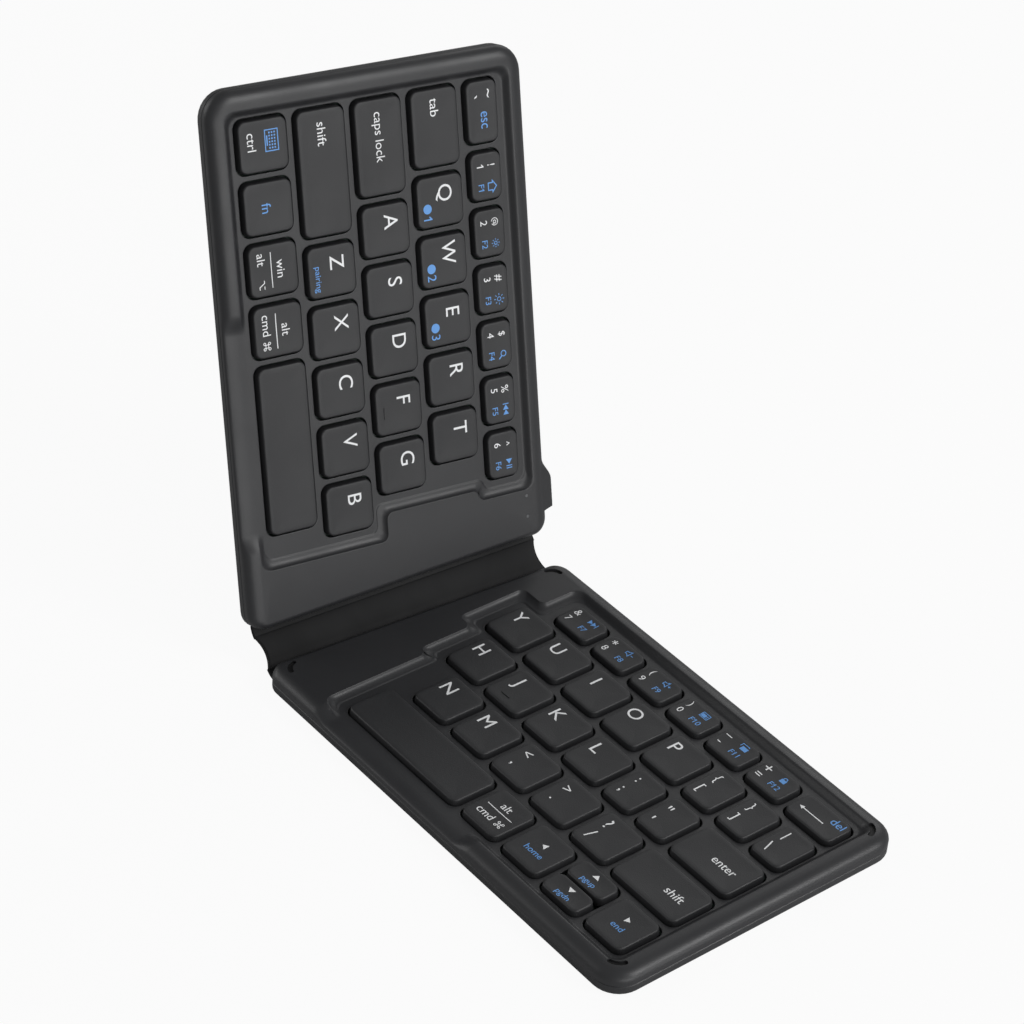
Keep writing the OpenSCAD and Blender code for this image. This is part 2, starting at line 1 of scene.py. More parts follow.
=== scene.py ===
"""Looks of the folding keyboard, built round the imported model.

Each half is drawn in a plan of its own, in millimetres: a runs outwards from the hinge edge, b to
the back and z up from the underside. The spine's plan has x across the spine and y along the folds.
to_object() carries a plan to its place and turns it into metres.
"""

import json
from math import acos, ceil, cos, pi, radians, sin, sqrt, tan

import bmesh
import bpy
from mathutils import Matrix, Vector
from mathutils.geometry import delaunay_2d_cdt


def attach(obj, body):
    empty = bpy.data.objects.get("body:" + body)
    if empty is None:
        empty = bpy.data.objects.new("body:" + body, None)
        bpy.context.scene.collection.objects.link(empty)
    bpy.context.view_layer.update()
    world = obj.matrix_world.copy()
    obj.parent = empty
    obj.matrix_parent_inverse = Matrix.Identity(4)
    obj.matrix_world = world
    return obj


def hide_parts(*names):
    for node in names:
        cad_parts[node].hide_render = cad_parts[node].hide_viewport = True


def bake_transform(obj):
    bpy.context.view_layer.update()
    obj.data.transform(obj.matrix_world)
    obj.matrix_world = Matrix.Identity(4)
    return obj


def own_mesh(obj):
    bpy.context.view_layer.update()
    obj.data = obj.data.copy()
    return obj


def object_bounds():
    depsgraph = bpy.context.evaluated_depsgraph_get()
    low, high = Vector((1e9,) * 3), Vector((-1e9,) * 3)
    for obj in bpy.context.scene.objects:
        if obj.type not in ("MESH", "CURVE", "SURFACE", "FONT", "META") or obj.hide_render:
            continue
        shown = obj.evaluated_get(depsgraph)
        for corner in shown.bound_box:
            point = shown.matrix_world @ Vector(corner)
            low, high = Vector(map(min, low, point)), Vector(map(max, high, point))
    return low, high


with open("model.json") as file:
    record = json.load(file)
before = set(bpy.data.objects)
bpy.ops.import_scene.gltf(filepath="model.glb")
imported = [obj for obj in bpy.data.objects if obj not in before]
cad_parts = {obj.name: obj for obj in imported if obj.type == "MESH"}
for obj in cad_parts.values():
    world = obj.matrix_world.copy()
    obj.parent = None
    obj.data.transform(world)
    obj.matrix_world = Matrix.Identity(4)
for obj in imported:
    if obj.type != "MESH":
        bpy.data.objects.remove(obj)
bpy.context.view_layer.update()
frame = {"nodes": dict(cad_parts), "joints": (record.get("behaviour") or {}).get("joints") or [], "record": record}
JOINTS = {joint["name"]: joint for joint in frame["joints"]}
MM = 0.001

# ---- driving sizes, as in the part's source

KEY_W, KEY_D = 15.5, 16.2
NUMBER_W, NUMBER_D = 14.7, 11.1
NARROW_W = 12.1
KEY_GAP, ROW_GAP = 2.5, 2.8
SPACE_W = 50.7
# Widths of the caps in each row, from the back row to the front and from the outer end inwards
ROWS = {
    "left": [[18.9] + [NUMBER_W] * 6, [23.2] + [KEY_W] * 5, [28.6] + [KEY_W] * 5,
             [37.3] + [KEY_W] * 5, [KEY_W] * 4 + [SPACE_W]],
    "right": [[18.7] + [NUMBER_W] * 6, [NARROW_W] * 3 + [KEY_W] * 5,
              [24.5] + [NARROW_W] * 2 + [KEY_W] * 4, [26.8] + [KEY_W] * 5,
              [KEY_W] * 4 + [SPACE_W]],
}
SIDE_MARGIN, FRONT_MARGIN, BACK_MARGIN, PLATFORM_W = 9.2, 8.9, 9.5, 15.7
SLANT = radians(4.5)
EDGE_GAP = 1.5
CAP_CORNER = 2.4
CAP_CLEAR = 0.35
SPLIT_GAP, SPLIT_EXTRA = 0.5, 0.5

SKIRT_Z, CAP_Z = 4.5, 7.2
DECK_Z, RIM_Z, SEAM_Z = 5.6, 7.4, 3.2
DECK_T, FLOOR_T, WALL_T, PLATFORM_T = 1.2, 1.4, 1.8, 1.2
ROLL_W, ROLL_H = 4.6, 3.0
OUTER_R, HINGE_R = 8.5, 5.5
RIM_W, RIM_FRONT_W, WALL_RUN = 6.6, 5.6, 1.6
WELL_R, STEP_R, STEP_SHIFT = 3.4, 2.2, 1.4
ROW_CLEAR = {"left": 4.0, "right": 4.9}
BANDS = {"left": [(0, 0), (1, 2), (3, 4)], "right": [(0, 0), (1, 1), (2, 2), (3, 4)]}
SCOOP_RAMP, SCOOP_LEAD, SCOOP_TAIL = 7.0, 17.5, 5.0

PORT_A, PORT_W = 16.3, 8.9
HOUSING_OUT, HOUSING_SLOPE, HOUSING_TOP = 2.6, 6.5, 6.5
LIGHT_R, LIGHT_PITCH, LIGHT_INSET = 0.45, 6.6, 7.8
SCREW_INSET, SCREW_HEAD_R, SCREW_HEAD_T = 4.1, 1.4, 0.6
FOOT_L, FOOT_W, FOOT_INSET, FOOT_POCKET = 16.0, 4.0, 13.0, 0.6
BUMPER_INSET, BUMPER_HINGE_INSET, BUMPER_R, BUMPER_W = 8.6, 6.8, 3.8, 1.3
BAND_LEN, BAND_WAIST, BAND_T, WEB_T = 98.0, 1.6, 2.0, 1.2

# ---- derived layout


def row_length(row):
    return sum(row) + KEY_GAP * (len(row) - 1)


HALF_W = SIDE_MARGIN + max(row_length(r) for rows in ROWS.values() for r in rows) + PLATFORM_W
ROW_PITCH = KEY_D + ROW_GAP
DEPTH = FRONT_MARGIN + 4 * ROW_PITCH + NUMBER_D + BACK_MARGIN
FRONT_B, BACK_B = -DEPTH / 2, DEPTH / 2
SCOOP_A1 = HALF_W - SIDE_MARGIN - 4 * (KEY_W + KEY_GAP) + SCOOP_LEAD
SCOOP_A0 = SCOOP_A1 - SCOOP_LEAD - SPACE_W - SCOOP_TAIL


def row_depth(row):
    return NUMBER_D if row == 0 else KEY_D


def row_b(row):
    bottom = FRONT_B + FRONT_MARGIN + KEY_D / 2
    return bottom + (4 - row) * ROW_PITCH - (KEY_D - row_depth(row)) / 2


def key_a(side, row, place):
    widths = ROWS[side][row]
    return HALF_W - SIDE_MARGIN - sum(widths[:place]) - KEY_GAP * place - widths[place] / 2


def row_end(side, row):
    return HALF_W - SIDE_MARGIN - row_length(ROWS[side][row])


def cap_box(side, row, place, part=0):
    """(a, b, width, depth) of a cap. part is 1 or 2 for the upper or lower cap of a split place."""
    a, b, w, d = key_a(side, row, place), row_b(row), ROWS[side][row][place], row_depth(row)
    if part:
        half = d / 2 + SPLIT_EXTRA - SPLIT_GAP / 2
        b += (half + SPLIT_GAP) / 2 * (1 if part == 1 else -1)
        d = half
    return a, b, w, d


# ---- places of the two halves and the spine

RIGHT_AXIS = Vector(JOINTS["fold_right"]["pos_m"]) / MM
LEFT_AXIS = Vector(JOINTS["fold_left"]["pos_m"]) / MM
BEND_RIGHT = radians(-JOINTS["fold_right"]["range_deg"][0])
BEND_LEFT = radians(-JOINTS["fold_left"]["range_deg"][0])
SPINE_W = (LEFT_AXIS - RIGHT_AXIS).length
PLAN = Matrix.Translation((EDGE_GAP, 0, 0)) @ Matrix.Rotation(SLANT, 4, "Z")
SPINE = Matrix.Translation(RIGHT_AXIS) @ Matrix.Rotation(BEND_RIGHT, 4, "Y")
PLACE = {
    "right": Matrix.Translation((RIGHT_AXIS.x, 0, 0)) @ PLAN,
    "left": SPINE
    @ Matrix.Translation((-SPINE_W, 0, 0))
    @ Matrix.Rotation(BEND_LEFT, 4, "Y")
    @ Matrix.Translation((0, 0, -RIGHT_AXIS.z))
    @ Matrix.Scale(-1, 4, (1, 0, 0))
    @ PLAN,
    "spine": SPINE,
}
PLACE = {plan: Matrix.Scale(MM, 4) @ place for plan, place in PLACE.items()}
SMOOTH_ANGLE = radians(38)


def new_object(name, data):
    piece = bpy.data.objects.new(name, data)
    bpy.context.scene.collection.objects.link(piece)
    return piece


def new_piece(bm, name, material):
    mesh = bpy.data.meshes.new(name)
    bm.to_mesh(mesh)
    bm.free()
    mesh.materials.append(material)
    return new_object(name, mesh)


def to_object(bm, name, place, material):
    """Puts a mesh drawn in a plan into the frame: normals out, smooth with crisp edges."""
    bmesh.ops.recalc_face_normals(bm, faces=bm.faces)
    bm.transform(PLACE[place])
    if PLACE[place].determinant() < 0:
        bmesh.ops.reverse_faces(bm, faces=bm.faces)
    piece = new_piece(bm, name, material)
    piece.data.shade_smooth()
    piece.data.set_sharp_from_angle(angle=SMOOTH_ANGLE)
    return piece


# ---- outlines


CORNER_STEPS, HALF_CORNER_STEPS, CIRCLE_STEPS = 6, 8, 24
MIN_CORNER_R = 1.0


def arc_corner(before, at, after, radius, steps):
    """A rounded corner's points, from before's side to after's side."""
    u, v = (before - at).normalized(), (after - at).normalized()
    half = u.angle(v) / 2
    centre = at + (u + v).normalized() * radius / sin(half)
    spoke = at + u * radius / tan(half) - centre
    turn = (pi - 2 * half) * (-1 if u.cross(v) > 0 else 1)
    return [centre + Matrix.Rotation(turn * i / steps, 2) @ spoke for i in range(steps + 1)]


def rounded(points, radii, steps=CORNER_STEPS):
    """An arc for each corner of the polygon, in order."""
    points = [Vector(p) for p in points]
    n = len(points)
    return [arc_corner(points[i - 1], points[i], points[(i + 1) % n], radii[i], steps)
            for i in range(n)]


def joined(*runs):
    return [p for run in runs for p in run]


def spread(first, last, count):
    return [first + (last - first) * i / (count - 1) for i in range(count)]


def rectangle(w, d, a=0, b=0):
    return [(a + u * w / 2, b + v * d / 2) for u, v in ((-1, -1), (1, -1), (1, 1), (-1, 1))]


def polar(r, t, at=(0, 0)):
    return at[0] + r * cos(t), at[1] + r * sin(t)


SCOOP_STEPS = 15
SCOOP_STATIONS = spread(SCOOP_A0, SCOOP_A0 + SCOOP_RAMP, SCOOP_STEPS) + spread(
    SCOOP_A1 - SCOOP_RAMP, SCOOP_A1, SCOOP_STEPS
)
PORT_CLEAR = 0.1
HOUSING_A1 = PORT_A + PORT_W / 2 + PORT_CLEAR
HOUSING_A0 = PORT_A - PORT_W / 2 - PORT_CLEAR
HOUSING_LEAD = 0.8
HOUSING_STATIONS = spread(HOUSING_A1 + HOUSING_SLOPE, HOUSING_A1, 9) + spread(
    HOUSING_A0, HOUSING_A0 - HOUSING_LEAD, 3
)


def smooth_step(t):
    t = min(max(t, 0.0), 1.0)
    return t * t * (3 - 2 * t)


def housing_share(a):
    """Share of the socket housing's bump that is there at a."""
    if a > HOUSING_A1:
        return smooth_step((HOUSING_A1 + HOUSING_SLOPE - a) / HOUSING_SLOPE)
    return smooth_step((a - HOUSING_A0 + HOUSING_LEAD) / HOUSING_LEAD)


def half_plan(side, inset, hinge_inset, bump=0.0):
    """Outline of a half, moved in. bump is how far the left half's socket housing stands out."""
    f, k, o = FRONT_B + inset, BACK_B - inset, HALF_W - inset
    h = hinge_inset / cos(SLANT)
    t = tan(SLANT)
    outer_r, hinge_r = max(OUTER_R - inset, MIN_CORNER_R), max(HINGE_R - inset, MIN_CORNER_R)
    corners = [(f * t + h, f), (o, f), (o, k), (k * t + h, k)]
    arcs = rounded(corners, [hinge_r, outer_r, outer_r, hinge_r], HALF_CORNER_STEPS)
    front = [Vector((a, f)) for a in SCOOP_STATIONS]
    back = []
    if side == "left":
        back = [Vector((a, k + bump * housing_share(a))) for a in HOUSING_STATIONS]
    return joined(arcs[0], front, arcs[1], arcs[2], back, arcs[3])


def shell_plan(side, inset=0.0):
    """Outline of a half below its rolled rim."""
    return half_plan(side, inset, inset, HOUSING_OUT + inset)


def band_a(side, band):
    """Where the well's wall runs beside a band of key rows."""
    return min(row_end(side, r) for r in range(band[0], band[1] + 1)) - ROW_CLEAR[side]


def well_steps(side, grow):
    bands, steps = BANDS[side], []
    for here, below in zip(bands, bands[1:]):
        a0, a1 = band_a(side, here), band_a(side, below)
        shift = (STEP_SHIFT + grow) * (1 if a1 < a0 else -1)
        b = row_b(here[1] + 1) + KEY_D / 2 + ROW_GAP / 2 + shift
        steps += [(a0 - grow, b), (a1 - grow, b)]
    return steps


def well_plan(side, grow, rim_grow=None):
    """Outline of the well, moved out by grow on its stepped side and by rim_grow on the others."""
    rim_grow = grow if rim_grow is None else rim_grow
    o, k = HALF_W - RIM_W + rim_grow, BACK_B - RIM_FRONT_W + rim_grow
    f = FRONT_B + RIM_FRONT_W - rim_grow
    steps = well_steps(side, grow)
    first, last = band_a(side, BANDS[side][0]), band_a(side, BANDS[side][-1])
    points = [(first - grow, k)] + steps + [(last - grow, f), (o, f), (o, k)]
    arcs = rounded(points, [WELL_R] + [STEP_R] * len(steps) + [WELL_R] * 3)
    clear = last + WELL_R + WALL_RUN + SUPPORT
    front = [Vector((a, f)) for a in SCOOP_STATIONS if a > clear]
    return joined(*arcs[:-2], front, *arcs[-2:])


CAVITY_CLEAR, CAVITY_R, CAVITY_STEPS = 0.6, 0.6, 3


def cavity_plan(side):
    """Room under the platform, between the hinge edge and the well."""
    f, k, t = FRONT_B + ROLL_W, BACK_B - ROLL_W, tan(SLANT)
    h = (WALL_T + CAVITY_CLEAR) / cos(SLANT)
    steps = well_steps(side, WALL_RUN)
    last, first = (band_a(side, BANDS[side][i]) - WALL_RUN for i in (-1, 0))
    points = [(f * t + h, f), (last, f)] + steps[::-1] + [(first, k), (k * t + h, k)]
    return joined(*rounded(points, [CAVITY_R] * len(points), CAVITY_STEPS))


def box_plan(a, b, w, d, r, steps=CORNER_STEPS):
    return joined(*rounded(rectangle(w, d, a, b), [r] * 4, steps))


def circle_plan(a, b, r):
    turns = spread(0, 2 * pi, CIRCLE_STEPS + 1)[:-1]
    return [Vector(polar(r, t, (a, b))) for t in turns]


def edge_profile(radius, steps=4):
    """Rounded edge as (way out from the wall, way down from the top), from the top to the wall."""
    turns = [pi / 2 * i / steps for i in range(steps + 1)]
    return [(radius * (1 - sin(t)), radius * (1 - cos(t))) for t in turns]


# ---- mesh building


def ring(bm, outline, z):
    return [bm.verts.new((p.x, p.y, z)) for p in outline]


def loft(bm, rings):
    """Walls from each closed ring to the next."""
    for low, high in zip(rings, rings[1:]):
        for i in range(len(low)):
            j = (i + 1) % len(low)
            bm.faces.new((low[i], low[j], high[j], high[i]))
    return rings


INSIDE = 1  # delaunay_2d_cdt() gives the triangles inside its loops
FILL_EPSILON, PATCH_EPSILON = 1e-5, 1e-6


def fill(bm, outer, holes=()):
    """A flat face between a ring and the rings of its holes, in triangles."""
    verts = joined(outer, *holes)
    loops, start = [], 0
    for loop in (outer, *holes):
        loops.append(list(range(start, start + len(loop))))
        start += len(loop)
    points = [v.co.xy for v in verts]
    _, _, faces, kept, _, inside = delaunay_2d_cdt(points, [], loops, INSIDE, FILL_EPSILON)
    for face, owners in zip(faces, inside):
        if list(owners) == [0]:
            bm.faces.new([verts[kept[i][0]] for i in face])


def closed_loft(bm, rings):
    """Walls through the rings, with a face on the first and the last."""
    loft(bm, rings)
    bm.faces.new(rings[0])
    bm.faces.new(rings[-1])


def prism(bm, outline, z0, z1):
    closed_loft(bm, [ring(bm, outline, z0), ring(bm, outline, z1)])


# ---- shapes of the housings

SUPPORT = 0.12  # a flat strip beside a rounding, which keeps the shading of the flat face even
LIP_R = 0.2
OPENING_GAP = CAP_CLEAR + 0.15
# The wall from the rim down to the deck, as (way out of the well's edge, way down from the rim)
WALL_PROFILE = [
    (1.45, 0.00), (1.40, 0.02), (1.33, 0.08), (1.26, 0.20), (1.18, 0.36), (1.04, 0.57),
    (0.86, 0.77), (0.66, 0.94), (0.44, 1.09), (0.20, 1.22), (-0.06, 1.33), (-0.34, 1.42),
    (-0.62, 1.48), (-0.90, 1.52), (-1.14, 1.56), (-1.30, 1.64), (-1.42, 1.76), (-1.60, 1.80),
]
RIM_LAP = 0.85
SCOOP_REACH = 0.5
LIGHT_BACK, LIGHT_CLEAR = 2, 0.05
ROLL_STEPS = 10
SEAM_GROOVE = 0.2
HOUSING_FALL = 1.1


def soft_rim(down):
    """How far out of the well's edge the soft inner slope of the rim is at that depth."""
    return RIM_LAP - (RIM_LAP + WALL_RUN) * acos(1 - 2 * down / (RIM_Z - DECK_Z)) / pi


def kept_rim(a):
    """Share of the rim's height that the scoop in the front rim leaves at a."""
    return 1 - smooth_step(min((a - SCOOP_A0) / SCOOP_RAMP, (SCOOP_A1 - a) / SCOOP_RAMP))


def scoop(bm):
    """Lowers the front rim beside the space bar to the deck, with soft ramps."""
    rim_b = FRONT_B + RIM_FRONT_W - RIM_LAP
    roll_z = RIM_Z - ROLL_H
    for v in bm.verts:
        past = v.co.y > FRONT_B + RIM_FRONT_W + WALL_RUN + SCOOP_REACH
        if past or not SCOOP_A0 < v.co.x < SCOOP_A1:
            continue
        kept = kept_rim(v.co.x)
        if v.co.y > rim_b and v.co.z > DECK_Z:
            v.co.z = DECK_Z + (v.co.z - DECK_Z) * kept
        elif v.co.y <= rim_b and v.co.z > roll_z:
            v.co.z = roll_z + (v.co.z - roll_z) * (1 - (RIM_Z - DECK_Z) / ROLL_H * (1 - kept))


def housing_bump(inset, z):
    """How far the socket housing stands out of the rolled edge at that height."""
    fall = min(max((HOUSING_TOP - z) / HOUSING_FALL, 0.0), 1.0)
    return (HOUSING_OUT + inset) * sqrt(1 - (1 - fall) ** 2)


def openings(side):
    """(a, b, width, depth) of the deck's openings. The two caps of the split place share one."""
    for row, widths in enumerate(ROWS[side]):
        for place in range(len(widths)):
            a, b, w, d = cap_box(side, row, place)
            split = side == "right" and (row, place) == (4, 1)
            extra = 2 * SPLIT_EXTRA if split else 0
            yield a, b, w + 2 * OPENING_GAP, d + 2 * OPENING_GAP + extra


def light_spots():
    return [(PORT_A - LIGHT_BACK + s * LIGHT_PITCH / 2, BACK_B - LIGHT_INSET) for s in (-1, 1)]


def top_frame(side):
    bm = bmesh.new()
    # Outside: seam, side wall and rolled rim
    outer = [ring(bm, shell_plan(side, SEAM_GROOVE), SEAM_Z)]
    outer.append(ring(bm, shell_plan(side), SEAM_Z + SEAM_GROOVE))
    for i in range(ROLL_STEPS + 1):
        t = pi / 2 * i / ROLL_STEPS
        inset, z = ROLL_W * (1 - cos(t)), RIM_Z - ROLL_H * (1 - sin(t))
        outer.append(ring(bm, half_plan(side, inset, inset / 2, housing_bump(inset, z)), z))
    loft(bm, outer)
    # Well: a soft wall down from the rim to the deck
    wall = [ring(bm, well_plan(side, grow, soft_rim(down)), RIM_Z - down)
            for grow, down in WALL_PROFILE]
    rim_edge = ring(bm, well_plan(side, WALL_PROFILE[0][0] + SUPPORT, RIM_LAP + SUPPORT), RIM_Z)
    deck_edge = ring(bm, well_plan(side, -WALL_RUN - SUPPORT), DECK_Z)
    loft(bm, [rim_edge] + wall + [deck_edge])
    # Holes for the caps and the lights
    deck_holes, under_holes = [], []
    for a, b, w, d in openings(side):
        r = CAP_CORNER + OPENING_GAP
        run = [ring(bm, box_plan(a, b, w + 2 * o, d + 2 * o, r + o), DECK_Z - down)
               for o, down in [(LIP_R + SUPPORT, 0)] + edge_profile(LIP_R)]
        run.append(ring(bm, box_plan(a, b, w, d, r), DECK_Z - DECK_T))
        loft(bm, run)
        deck_holes.append(run[0])
        under_holes.append(run[-1])
    light_tops, light_ends = [], []
    if side == "left":
        for a, b in light_spots():
            plan = circle_plan(a, b, LIGHT_R + LIGHT_CLEAR)
            run = loft(bm, [ring(bm, plan, z) for z in (RIM_Z, RIM_Z - PLATFORM_T)])
            light_tops.append(run[0])
            light_ends.append(run[1])
    fill(bm, outer[-1], [rim_edge] + light_tops)
    fill(bm, deck_edge, deck_holes)
    # Inside: room under the platform, under the deck and down to the seam
    under_z, inside = DECK_Z - DECK_T, half_plan(side, WALL_T, WALL_T)
    room = loft(bm, [ring(bm, cavity_plan(side), z) for z in (RIM_Z - PLATFORM_T, under_z)])
    inner = loft(bm, [ring(bm, inside, z) for z in (under_z, SEAM_Z)])
    fill(bm, room[0], light_ends)
    fill(bm, inner[0], [room[1]] + under_holes)
    fill(bm, outer[0], [inner[1]])
    scoop(bm)
    return bm


def corner_spots(inset, hinge_inset):
    """(a, b, turn in degrees) of a spot in each corner of a half."""
    t = tan(SLANT)
    f, k, o = FRONT_B + inset, BACK_B - inset, HALF_W - inset
    return [(f * t + hinge_inset, f, 180), (o, f, 270), (o, k, 0), (k * t + hinge_inset, k, 90)]


COVER_R, COVER_STEPS = 1.25, 6
SCREW_HINGE_EXTRA = 0.6
SCREW_CLEAR, SCREW_SINK = 0.1, 0.05
FOOT_CLEAR = 0.1
MOUTH_R, MOUTH_STEPS, MOUTH_START = 0.15, 3, -0.5


def screw_spots():
    spots = [(a, b) for a, b, _ in corner_spots(SCREW_INSET, SCREW_INSET + SCREW_HINGE_EXTRA)]
    return spots + [(HALF_W / 2, b) for b in (FRONT_B + SCREW_INSET, BACK_B - SCREW_INSET)]


def bottom_cover(side):
    bm = bmesh.new()
    outer = [ring(bm, shell_plan(side, o), down) for o, down in edge_profile(COVER_R, COVER_STEPS)]
    outer.append(ring(bm, shell_plan(side), SEAM_Z - SEAM_GROOVE))
    outer.append(ring(bm, shell_plan(side, SEAM_GROOVE), SEAM_Z))
    base = ring(bm, shell_plan(side, COVER_R + SUPPORT), 0)
    loft(bm, [base] + outer)
    fill(bm, base)
    inner = loft(bm, [ring(bm, half_plan(side, WALL_T, WALL_T), z) for z in (SEAM_Z, FLOOR_T)])
    fill(bm, outer[-1], [inner[0]])
    fill(bm, inner[1])
    return bm


def cover_pockets():
    """Recesses for the screw heads and the feet, with a softened mouth."""
    bm = bmesh.new()

    def pocket(plan, depth):
        run = [ring(bm, plan(MOUTH_R), MOUTH_START)]
        run += [ring(bm, plan(out), down) for out, down in edge_profile(MOUTH_R, MOUTH_STEPS)]
        closed_loft(bm, run + [ring(bm, plan(0), depth)])

    for a, b in screw_spots():
        r = SCREW_HEAD_R + SCREW_CLEAR
        pocket(lambda o: circle_plan(a, b, r + o), SCREW_HEAD_T + SCREW_SINK)
    for a, b, _ in corner_spots(FOOT_INSET, FOOT_INSET):
        w, d = FOOT_L + 2 * FOOT_CLEAR, FOOT_W + 2 * FOOT_CLEAR
        pocket(lambda o: box_plan(a, b, w + 2 * o, d + 2 * o, FOOT_W / 2 + o), FOOT_POCKET)
    return bm


def cut(piece, cutter_bm, place):
    """Takes the cutter's solids out of a piece, for good."""
    cutter = to_object(cutter_bm, piece.name + "_cutter", place, HOUSING)
    trim = piece.modifiers.new("trim", "BOOLEAN")
    trim.object = cutter
    trim.solver = "EXACT"
    graph = bpy.context.evaluated_depsgraph_get()
    carved = bpy.data.meshes.new_from_object(piece.evaluated_get(graph))
    piece.modifiers.clear()
    piece.data = carved
    carved.set_sharp_from_angle(angle=SMOOTH_ANGLE)
    bpy.data.objects.remove(cutter)


# ---- caps

CAP_WALL, CAP_TOP_T = 1.0, 0.9
CAP_EDGE_R = 0.55
CAP_TAPER = 0.25
CAP_EDGE = CAP_TAPER + CAP_EDGE_R
CAP_DISH = 0.16
CAP_RINGS, CAP_EDGE_STEPS = 6, 5
CAP_UNDER_INSET = 1.5
CAP_CORNER_LOSS, CAP_MIN_CORNER = 0.6, 0.4


def dish(depth_in, reach):
    """Drop of a cap's top that far in from its edge. reach is the way in to the middle line."""
    t = min(max(depth_in / reach, 0.0), 1.0)
    return CAP_DISH * (1 - (1 - t) ** 2)


def cap_top(box, u, v):
    """Height of a cap's top at (u, v) from its middle."""
    _, _, w, d = box
    inside = min(w / 2 - abs(u), d / 2 - abs(v)) - CAP_EDGE
    return CAP_Z - dish(inside, min(w, d) / 2 - CAP_EDGE)


def cap(bm, box):
    a, b, w, d = box
    reach = min(w, d) / 2 - CAP_EDGE

    def plan(inset):
        r = max(CAP_CORNER - inset * CAP_CORNER_LOSS, CAP_MIN_CORNER)
        return box_plan(a, b, w - 2 * inset, d - 2 * inset, r)

    under_z = CAP_Z - CAP_TOP_T
    rings = [ring(bm, plan(CAP_WALL + inset), under_z) for inset in (CAP_UNDER_INSET, 0)]
    rings += [ring(bm, plan(inset), SKIRT_Z) for inset in (CAP_WALL, 0)]
    for out, down in reversed(edge_profile(CAP_EDGE_R, CAP_EDGE_STEPS)):
        rings.append(ring(bm, plan(CAP_TAPER + out), CAP_Z - down))
    for i in range(1, CAP_RINGS):
        inset = reach * i / CAP_RINGS
        rings.append(ring(bm, plan(CAP_EDGE + inset), CAP_Z - dish(inset, reach)))
    closed_loft(bm, rings)


# ---- legends: flat drawings, (u, v) in mm

INK_UP, INK_DOWN = 0.02, 0.10
LINE_STEP = 1.0
MITRE_LIMIT = 0.4
FAR = 1e9
CAPITAL_SHARE = 0.682  # height of the font's capitals in its own size
ONE_FLAG = ((0.05, 1), (-0.24, 0.76), (-0.24, 0.60), (0.05, 0.80))  # the font's 1 is a bare stroke
GLYPH_SIZE = 10
LETTER_H, WORD_H = {"left": 4.6, "right": 4.5}, 2.8


def islands(points, faces):
    """Left ends of the separate outlines of a mesh, from left to right."""
    group = list(range(len(points)))

    def root(i):
        while group[i] != i:
            i = group[i]
        return i

    for face in faces:
        for i in face[1:]:
            group[root(i)] = root(face[0])
    ends = {}
    for i in {i for face in faces for i in face}:
        ends[root(i)] = min(points[i][0], ends.get(root(i), FAR))
    return sorted(ends.values())


def text(string, height, width=None, at=(0, 0), align="centre"):
    """A flat word. height is that of its capitals, and at is its middle, left or right end."""
    curve = bpy.data.curves.new("word", "FONT")
    curve.body = string
    curve.size = height / CAPITAL_SHARE
    curve.resolution_u = 6
    holder = new_object("word", curve)
    bpy.context.view_layer.update()
    mesh = bpy.data.meshes.new_from_object(holder)
    points = [(v.co.x, v.co.y) for v in mesh.vertices]
    faces = [tuple(p.vertices) for p in mesh.polygons]
    bpy.data.objects.remove(holder)
    bpy.data.meshes.remove(mesh)
    bpy.data.curves.remove(curve)
    for i in [i for i, letter in enumerate(string) if letter == "1"]:
        x, n = islands(points, faces)[i], len(points)
        points += [(x + u * height, v * height) for u, v in ONE_FLAG]
        faces.append((n, n + 1, n + 2, n + 3))
    left, right = min(x for x, _ in points), max(x for x, _ in points)
    stretch = width / (right - left) if width else 1
    anchor = {"centre": (left + right) / 2, "left": left, "right": right}[align]
    return [(at[0] + (x - anchor) * stretch, at[1] + y - height / 2) for x, y in points], faces


def glyph(string, height, width=None, at=(0, 0)):
    """A sign from the font, fitted to a height of its own and centred on at."""
    points, faces = text(string, GLYPH_SIZE)
    xs, ys = [p[0] for p in points], [p[1] for p in points]
    sy = height / (max(ys) - min(ys))
    sx = width / (max(xs) - min(xs)) if width else sy
    mx, my = (max(xs) + min(xs)) / 2, (max(ys) + min(ys)) / 2
    return [(at[0] + (x - mx) * sx, at[1] + (y - my) * sy) for x, y in points], faces


def line(points, width, closed=False, at=(0, 0)):
    """A stroke of even width with mitred corners."""
    path = [Vector(p) for p in points]
    runs = list(zip(path, path[1:] + path[:1])) if closed else list(zip(path, path[1:]))
    fine = []
    for p, q in runs:
        parts = max(1, ceil((q - p).length / LINE_STEP))
        fine += [p + (q - p) * i / parts for i in range(parts)]
    if not closed:
        fine.append(path[-1])
    n, verts = len(fine), []
    for i, p in enumerate(fine):
        before = fine[i - 1] if closed or i else p
        after = fine[(i + 1) % n] if closed or i < n - 1 else p
        into, out = (p - before).normalized(), (after - p).normalized()
        into, out = into if into.length else out, out if out.length else into
        across = Vector((-into.y - out.y, into.x + out.x)).normalized()
        reach = width / 2 / max(across.dot(Vector((-out.y, out.x))), MITRE_LIMIT)
        verts += [tuple(p + across * reach + Vector(at)), tuple(p - across * reach + Vector(at))]
    last = n if closed else n - 1
    faces = [(2 * i, 2 * i + 1, 2 * ((i + 1) % n) + 1, 2 * ((i + 1) % n)) for i in range(last)]
    return verts, faces


def patch(points, at=(0, 0)):
    """A filled outline."""
    points = [Vector(p) for p in points]
    if sum(p.cross(q) for p, q in zip(points, points[1:] + points[:1])) < 0:
        points.reverse()
    loops = [list(range(len(points)))]
    _, _, faces, kept, _, inside = delaunay_2d_cdt(points, [], loops, INSIDE, PATCH_EPSILON)
    faces = [tuple(kept[i][0] for i in face) for face, owners in zip(faces, inside) if owners]
    return [(p.x + at[0], p.y + at[1]) for p in points], faces


